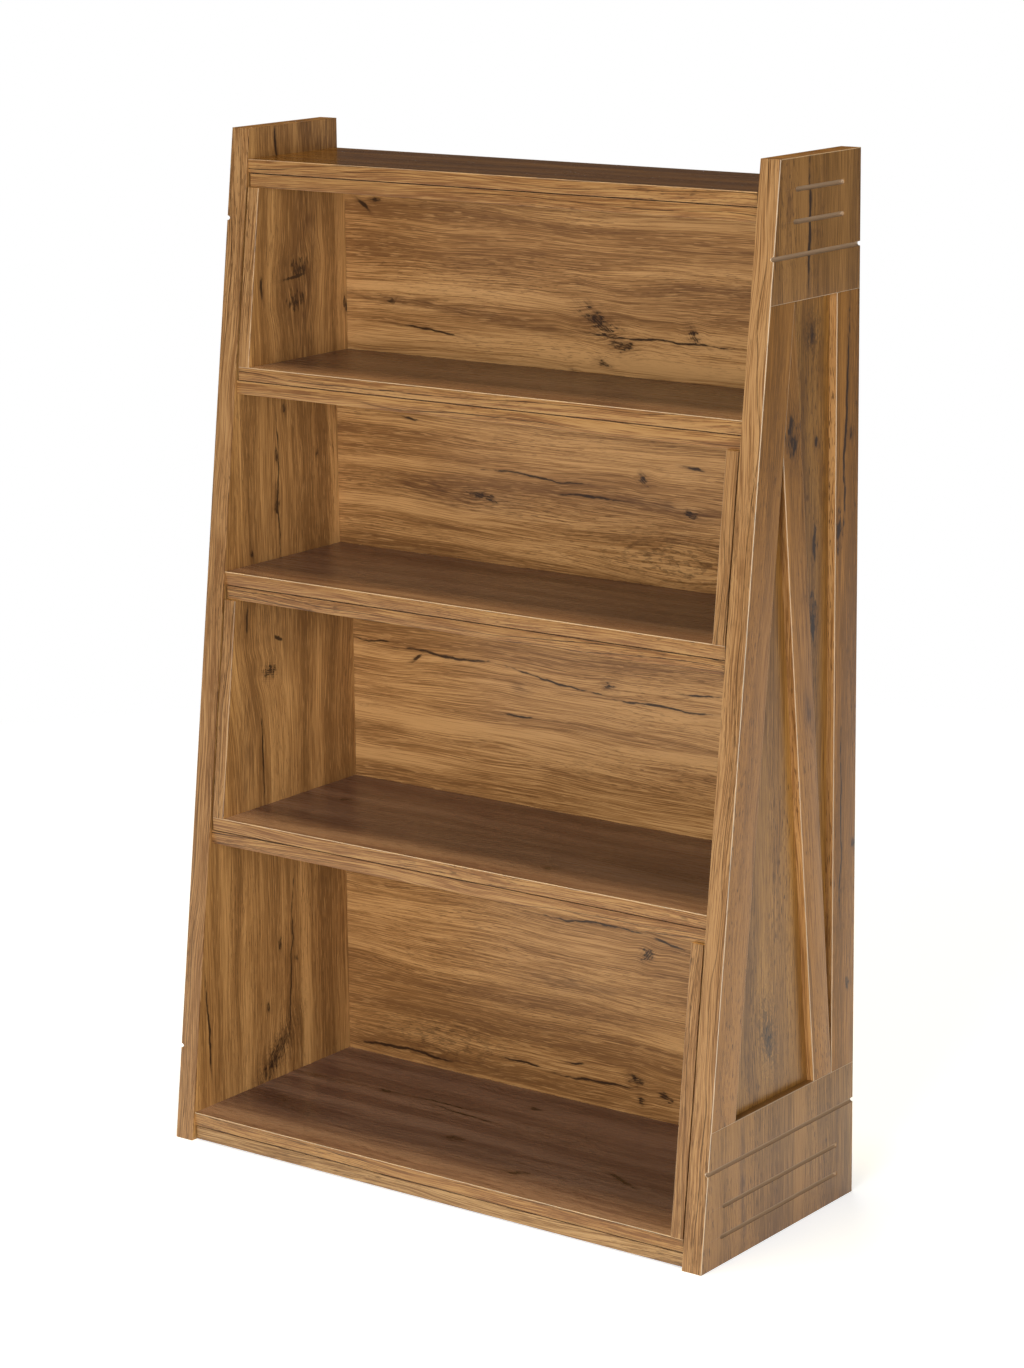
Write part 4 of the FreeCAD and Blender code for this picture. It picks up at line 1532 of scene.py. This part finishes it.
    def build_band(self) -> None:
        """Makes the front band, notched on its outer side where the two long grooves run out."""
        node = self.node("front_edge_band")
        low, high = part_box(node)
        turn = np.linspace(math.pi, 0.0, 2 * self.notch_steps + 1)
        radius = self.groove_width / 2
        middles = np.array([self.plinth_long_rise, high.z - self.crown_long_drop])
        notch_heights = (middles[:, None] + radius * np.cos(turn)[None, :]).reshape(-1)
        notch_cuts = np.tile(self.groove_depth * np.sin(turn), len(middles))
        heights = np.concatenate([[low.z], notch_heights, [high.z]])
        cuts = np.concatenate([[0.0], notch_cuts, [0.0]])
        inner = low.x if self.side is Side.RIGHT else high.x
        path = np.stack([np.full_like(heights, inner), self.front.at(heights), heights], axis=-1)
        finish = FRAME_BAND_PRINT.material(node, Lay.EDGE, FrameSheet.FRONT_BAND.after(self.seed))
        across = Vector((float(self.side.value), 0.0, 0.0))
        width = high.x - low.x
        strip = EdgeBand(node, near_milled=0.0, far_milled=self.outer_milled, near_easing=self.inner_easing)
        strip.build(path, across, width, self.front.band_thickness, finish, narrowing=cuts)


@dataclass(frozen=True)
class Fittings:
    """The cam fittings, dowels and screws of one unit."""

    side: Side

    def build(self, metals: dict[str, bpy.types.Material]) -> None:
        """Dresses the fittings.

        Args:
            metals: The finish of each kind of fitting.
        """
        for kind, material in metals.items():
            dress(f"{self.side.label}_{kind}", material)


@dataclass(frozen=True)
class Lamp:
    """A square lamp that faces the object.

    Attributes:
        name: Its name.
        direction: Direction from the object to the lamp.
        power: Power in watts.
        width: Width of the square.
        colour: Colour of its light.
        mirrored: Whether a satin surface shows the lamp.
        distance: Distance from the target.
        target: Point that the lamp faces.
    """

    name: str
    direction: tuple[float, float, float]
    power: float
    width: float
    colour: str = WHITE
    mirrored: bool = True
    distance: float = 5.0
    target: tuple[float, float, float] = (0.0, 0.0, 0.56)

    def build(self) -> None:
        """Adds the lamp and turns it to its target."""
        lamp = bpy.data.lights.new(self.name, "AREA")
        lamp.energy = self.power
        lamp.color = linear(self.colour)[:3]
        lamp.size = self.width
        holder = bpy.data.objects.new(self.name, lamp)
        away = Vector(self.direction).normalized()
        holder.location = Vector(self.target) + self.distance * away
        holder.rotation_euler = away.to_track_quat("Z", "Y").to_euler()
        holder.visible_glossy = self.mirrored
        bpy.context.scene.collection.objects.link(holder)


# The main lamp stands nearly straight in front, so that narrow gaps stay dark and the overlays' front edges
# are lit past the front legs, and a second one lights the right side. The warm one above lights the front of
# each shelf, as far as the shelf over it leaves it open. The one behind keeps the rear from going dark.
LAMPS = (
    Lamp("key_lamp", (0.22, -0.96, 0.13), power=210.0, width=2.0, mirrored=False),
    Lamp("side_lamp", (0.92, -0.36, 0.12), power=89.0, width=2.0),
    Lamp("overhead_lamp", (0.0, -0.02, 1.0), power=190.0, width=0.9, colour="#FFE9AE"),
    Lamp("rear_lamp", (-0.62, 0.75, 0.1), power=130.0, width=2.0, mirrored=False),
)


@dataclass(frozen=True)
class Studio:
    """A pale floor, soft lamps and the camera.

    Attributes:
        floor_reach: Half width of the floor.
        floor_glow: Light that the camera sees on the floor beside its own shading, so that it reads as white.
        shade_reach: Distance from the middle at which the floor starts to turn plain white.
        white_reach: Distance from the middle at which it is plain white.
        ambient: Strength of the even light from round the horizon.
        zenith: Strength of that light from above.
        horizon_rise: Sine of the angle over the horizon at which the light has faded to the zenith's.
        mirror_white: Sine of the angle below the horizon up to which a satin surface mirrors plain white.
        mirror_dim: Sine of the angle from which it mirrors the studio.
        paper: Colour of the floor.
        lamps: The lamps.
        camera_place: Place of the camera.
        camera_yaw: Angle of the view from +Y towards -X, in degrees.
        camera_pitch: Angle of the view below the horizon, in degrees.
        camera_roll: Angle by which the camera's right side drops, in degrees.
        focal_pixels: Focal length in pixels of the picture.
        axis_row: Row of the picture that the camera's axis meets.
        sensor: Longer side of the sensor in millimetres.
    """

    floor_reach: float = 3.0
    floor_glow: float = 0.58
    shade_reach: float = 1.1
    white_reach: float = 2.2
    ambient: float = 0.2
    zenith: float = 0.04
    horizon_rise: float = 0.09
    mirror_white: float = -0.5
    mirror_dim: float = -0.3
    paper: str = "#DCE1EA"
    lamps: tuple[Lamp, ...] = LAMPS
    camera_place: tuple[float, float, float] = (2.39811, -3.19326, 1.50022)
    camera_yaw: float = 36.724
    camera_pitch: float = 12.166
    camera_roll: float = 0.609
    focal_pixels: float = 3801.1
    axis_row: float = 600.0
    sensor: float = 36.0

    def build(self) -> None:
        """Sets up the floor, the light, the camera and the view."""
        self.build_floor()
        self.build_world()
        for lamp in self.lamps:
            lamp.build()
        self.build_camera()
        bpy.context.scene.view_settings.view_transform = "Standard"

    def seen_ray(self, wires: Wiring, mirrored: bpy.types.NodeSocket | float = 1.0) -> bpy.types.NodeSocket:
        """Gives one for a ray that shows the surroundings as a backdrop, zero for one that lights a piece.

        Args:
            wires: The tree that takes the nodes.
            mirrored: What a mirrored ray is given instead of one.

        Returns:
            The socket with that number.
        """
        path = wires.add("LightPath").node.outputs
        glossy = wires.add("Math", {0: path["Is Glossy Ray"], 1: mirrored}, operation="MULTIPLY")
        through = wires.add("Math", {0: glossy, 1: path["Is Transmission Ray"]}, operation="MAXIMUM")
        return wires.add("Math", {0: path["Is Camera Ray"], 1: through}, operation="MAXIMUM")

    def build_floor(self) -> None:
        """Makes the floor: matt paper that keeps the shadow and reads as white where nothing shades it."""
        reach = self.floor_reach
        mesh = bpy.data.meshes.new("studio_floor")
        corners = [(-reach, -reach, 0.0), (reach, -reach, 0.0), (reach, reach, 0.0), (-reach, reach, 0.0)]
        mesh.from_pydata(corners, [], [(0, 1, 2, 3)])
        floor = bpy.data.objects.new("studio_floor", mesh)
        bpy.context.scene.collection.objects.link(floor)
        material, wires = start_material("matt_white_paper")
        paper = wires.add("BsdfDiffuse", {"Color": linear(self.paper)})
        glow = wires.add("Emission", {"Color": linear(WHITE), "Strength": self.floor_glow})
        lit = wires.add("AddShader", {0: paper, 1: glow})
        white = wires.add("Emission", {"Color": linear(WHITE), "Strength": 1.0})
        place = wires.add("TexCoord", output="Object")
        away = wires.add("VectorMath", {0: place}, output="Value", operation="LENGTH")
        far = wires.add("MapRange", span(away, self.shade_reach, self.white_reach))
        seen = wires.add("MixShader", {0: far, 1: lit, 2: white})
        surface = wires.add("MixShader", {0: self.seen_ray(wires), 1: paper, 2: seen})
        wires.add("OutputMaterial", {"Surface": surface})
        mesh.materials.append(material)

    def build_world(self) -> None:
        """Makes a soft light that fades from the horizon to the zenith, behind which the camera sees white.

        A satin surface mirrors that white steeply below the horizon only, and the dim studio above it.
        """
        world = bpy.data.worlds.new("studio_world")
        world.use_nodes = True
        world.node_tree.nodes.clear()
        wires = Wiring(world.node_tree)
        direction = wires.add("TexCoord", output="Generated")
        rise = wires.add("SeparateXYZ", {"Vector": direction}, output="Z")
        fade = wires.add("MapRange", span(rise, 0.0, self.horizon_rise, self.ambient, self.zenith))
        even = wires.add("Background", {"Color": linear(WHITE), "Strength": fade})
        white = wires.add("Background", {"Color": linear(WHITE), "Strength": 1.0})
        low_down = wires.add("MapRange", span(rise, self.mirror_white, self.mirror_dim, 1.0, 0.0))
        surface = wires.add("MixShader", {0: self.seen_ray(wires, low_down), 1: even, 2: white})
        wires.add("OutputWorld", {"Surface": surface})
        bpy.context.scene.world = world

    def build_camera(self) -> None:
        """Puts the camera where the picture was taken from, turned by its yaw, pitch and roll."""
        camera = bpy.data.cameras.new("studio_camera")
        camera.sensor_width = self.sensor
        camera.lens = self.focal_pixels / IMAGE_HEIGHT * self.sensor
        camera.shift_y = (self.axis_row - IMAGE_HEIGHT / 2) / IMAGE_HEIGHT
        holder = bpy.data.objects.new("studio_camera", camera)
        upright = Matrix.Rotation(math.radians(90.0 - self.camera_pitch), 4, "X")
        turned = Matrix.Rotation(math.radians(self.camera_yaw), 4, "Z")
        rolled = Matrix.Rotation(math.radians(-self.camera_roll), 4, "Z")
        holder.matrix_world = Matrix.Translation(Vector(self.camera_place)) @ turned @ upright @ rolled
        bpy.context.scene.collection.objects.link(holder)
        bpy.context.scene.camera = holder


def build_boxes(front: FrontLine) -> None:
    """Builds the four compartments' boxes, from the top down, with the marks of their sheets.

    Args:
        front: The line that the end panels' fronts follow.
    """
    CompartmentBox(
        "top_box", seed=11.0, front=front,
        back_flaws=(
            knot(38, 924, 24, 10, -33), crack(115, 912, 110, 1.0, -1), knot(65, 904, 15, 6, -8),
            knot(157, 921, 9, 5, -60), smoke(-24, 914, 42, 5, -1), knot(41, 882, 9, 3, -13),
            crack(-195, 899, 46, 1.0, -5), smoke(-195, 927, 95, 4, -4, 0.7), knot(-250, 930, 7, 3.5),
            crack(-290, 1034, 13, 2.0, -34), knot(-271, 1040, 7, 3), knot(0, 860, 8, 4, -80),
        ),
        end_flaws=(
            smoke(972, 64, 96, 14, 3, 0.7), knot(972, 56, 10, 16, 0, 0.3), crack(960, 47, 23, 1.8, 84),
            knot(935, 47, 10, 15), smoke(958, 50, 34, 20, 0, 0.5), smoke(1030, 74, 18, 12, 0, 0.7),
            crack(956, -9, 15, 2.0), knot(922, 136, 7, 5),
        ),
    ).build()
    CompartmentBox(
        "upper_box", seed=21.0, front=front,
        back_flaws=(
            smoke(-178, 717, 68, 9, -4, 0.8), knot(-126, 717, 19, 4.5, -12),
            crack(-54, 747, 75, 0.9, -1), crack(24, 733, 44, 1.2, -1), knot(93, 758, 6, 5, -36),
            smoke(131, 732, 66, 5, -2, 0.7), knot(155, 728, 9, 4.5, -4), arcs(133, 672, 40, 14),
            crack(-228, 797, 15, 1.2, -4), crack(159, 778, 13, 1.5, -6),
        ),
    ).build()
    CompartmentBox(
        "lower_box", seed=31.0, front=front,
        back_flaws=(
            crack(-283, 534, 32, 0.9, 2), crack(-175, 528, 75, 1.3), crack(-29, 518, 73, 1.0, -7),
            crack(116, 509, 72, 1.0, 1), knot(46, 521, 8, 4.5), smoke(-75, 503, 9, 5),
            crack(-82, 470, 25, 1.0, 5), crack(-222, 519, 11, 1.8, 33), crack(168, 530, 25, 1.0, 3),
        ),
        end_flaws=(
            crack(588, -50, 17, 1.5, 8), smoke(604, 50, 42, 100, 0, 0.55),
            smoke(570, 5, 40, 24, 0, 0.4), knot(522, -14, 12, 7, -79), crack(556, 4, 9, 2.0, -64),
            crack(428, -27, 55, 1.0, -2), smoke(445, -55, 65, 13, 5, 0.5),
        ),
        floor_flaws=(knot(-256, 44, 7, 5), knot(99, -50, 6, 5)),
    ).build()
    CompartmentBox(
        "bottom_box", seed=41.0, front=front,
        back_flaws=(
            crack(25, 245, 76, 1.0, 2), crack(125, 242, 24, 1.2, -7), knot(96, 224, 9, 6, 54),
            crack(-77, 63, 29, 1.2, -3), crack(26, 61, 56, 1.4, 1), knot(80, 74, 10, 7, 15),
            knot(121, 60, 9, 4, -10), knot(87, 51, 4, 5), crack(-4, 78, 13, 1.2, 3),
            crack(-252, 44, 82, 1.6), arcs(-191, 66, 38, 13), smoke(-1, 169, 46, 6),
        ),
        floor_flaws=(
            smoke(-293, 37, 46, 4, 0, 0.8), knot(-196, 40, 14, 4, 5), crack(-127, 44, 55, 1.4, 2),
            smoke(-273, -53, 48, 12, -12, 0.6), knot(-44, -38, 10, 7, 17), knot(79, -84, 12, 6, 20),
            crack(183, -40, 28, 2.5, -23), crack(-81, 29, 52, 1.6, -6), knot(-26, 90, 8, 4, 11),
        ),
    ).build()


def build_frames(front: FrontLine) -> None:
    """Builds the two side frames with the marks of their sheets.

    Args:
        front: The line that the frames' fronts follow.
    """
    SideFrame(
        Side.LEFT, front, seed=51.0, board_print=INNER_PRINT,
        board_flaws=(
            crack(1110, 40, 34, 1.6), smoke(1110, 112, 70, 36, 0, 0.45), crack(732, 30, 90, 1.0, -1),
            knot(812, 45, 5, 4), knot(761, 28, 7, 3), knot(709, 28, 13, 4), knot(753, 98, 4, 3),
            knot(656, -18, 7, 2.5), crack(162, 34, 118, 0.9, 4), knot(59, 3, 31, 9, 44, 0.6),
            knot(167, 44, 4, 3), knot(119, -8, 5, 4), knot(191, 14, 7, 3),
            crack(122, -113, 61, 1.4, -4),
        ),
        crown_flaws=(crack(1050, 60, 60, 2.0), knot(1085, 110, 8, 5)),
        plinth_flaws=(smoke(80, 40, 50, 5), smoke(70, -90, 40, 4)),
        rear_leg_flaws=(knot(700, 125, 12, 4), crack(430, 118, 110, 1.0)),
        brace_flaws=(knot(600, 45, 14, 5),),
    ).build()
    SideFrame(
        Side.RIGHT, front, seed=61.0, board_print=RECESS_PRINT,
        board_flaws=(
            knot(947, 70, 11, 7, 0, 0.7), crack(834, 80, 7, 2.5), crack(727, 76, 21, 2.5),
            knot(727, 76, 19, 5), crack(640, 73, 20, 3.0, 2), knot(652, 74, 24, 7),
            knot(217, -8, 25, 9, -9, 0.7),
        ),
        crown_flaws=(crack(1058, 49, 72, 2.2), smoke(1094, 10, 35, 4)),
        plinth_flaws=(smoke(85, -69, 52, 4, -2, 0.8), smoke(110, 115, 44, 4, 0, 0.7)),
        rear_leg_flaws=(
            crack(844, 122, 135, 1.9, 3), crack(736, 108, 18, 2.6), knot(738, 109, 22, 5),
            knot(836, 132, 7, 4), crack(417, 118, 120, 1.0), knot(394, 143, 6, 4), knot(242, 133, 6, 4),
        ),
        brace_flaws=(
            knot(847, 18, 21, 11), crack(860, 16, 13, 2.4, 8), crack(834, 23, 12, 2.4, 12),
            smoke(557, 50, 13, 5, 0, 0.8),
        ),
    ).build()


def main() -> None:
    """Builds the bookcase and the studio in order."""
    logging.basicConfig(level=logging.INFO, format="%(name)s: %(message)s")
    front = FrontLine.measure("right_front_edge_band", BAND_THICKNESS)
    build_frames(front)
    build_boxes(front)
    BoardWithBand("top_cover_board", seed=71.0, top_milled=0.4, board_print=SHADED_COVER_PRINT).build()
    BoardWithBand("base_board", seed=72.0, top_milled=0.1, band_print=BASE_BAND_PRINT).build()
    plated = TumbledMetal("zinc_plated_steel", light="#C9CACC", dark="#A4A6A9", roughness=0.36).material()
    cast = TumbledMetal("die_cast_zinc", light="#B4B6B8", dark="#8E9093", roughness=0.5).material()
    beech = TurnedBeech().material()
    for side in Side:
        Fittings(side).build(
            {"cam_bolts": plated, "cam_discs": cast, "dowels": beech, "end_panel_screws": plated}
        )
    Studio().build()


if __name__ == "__main__":
    main()
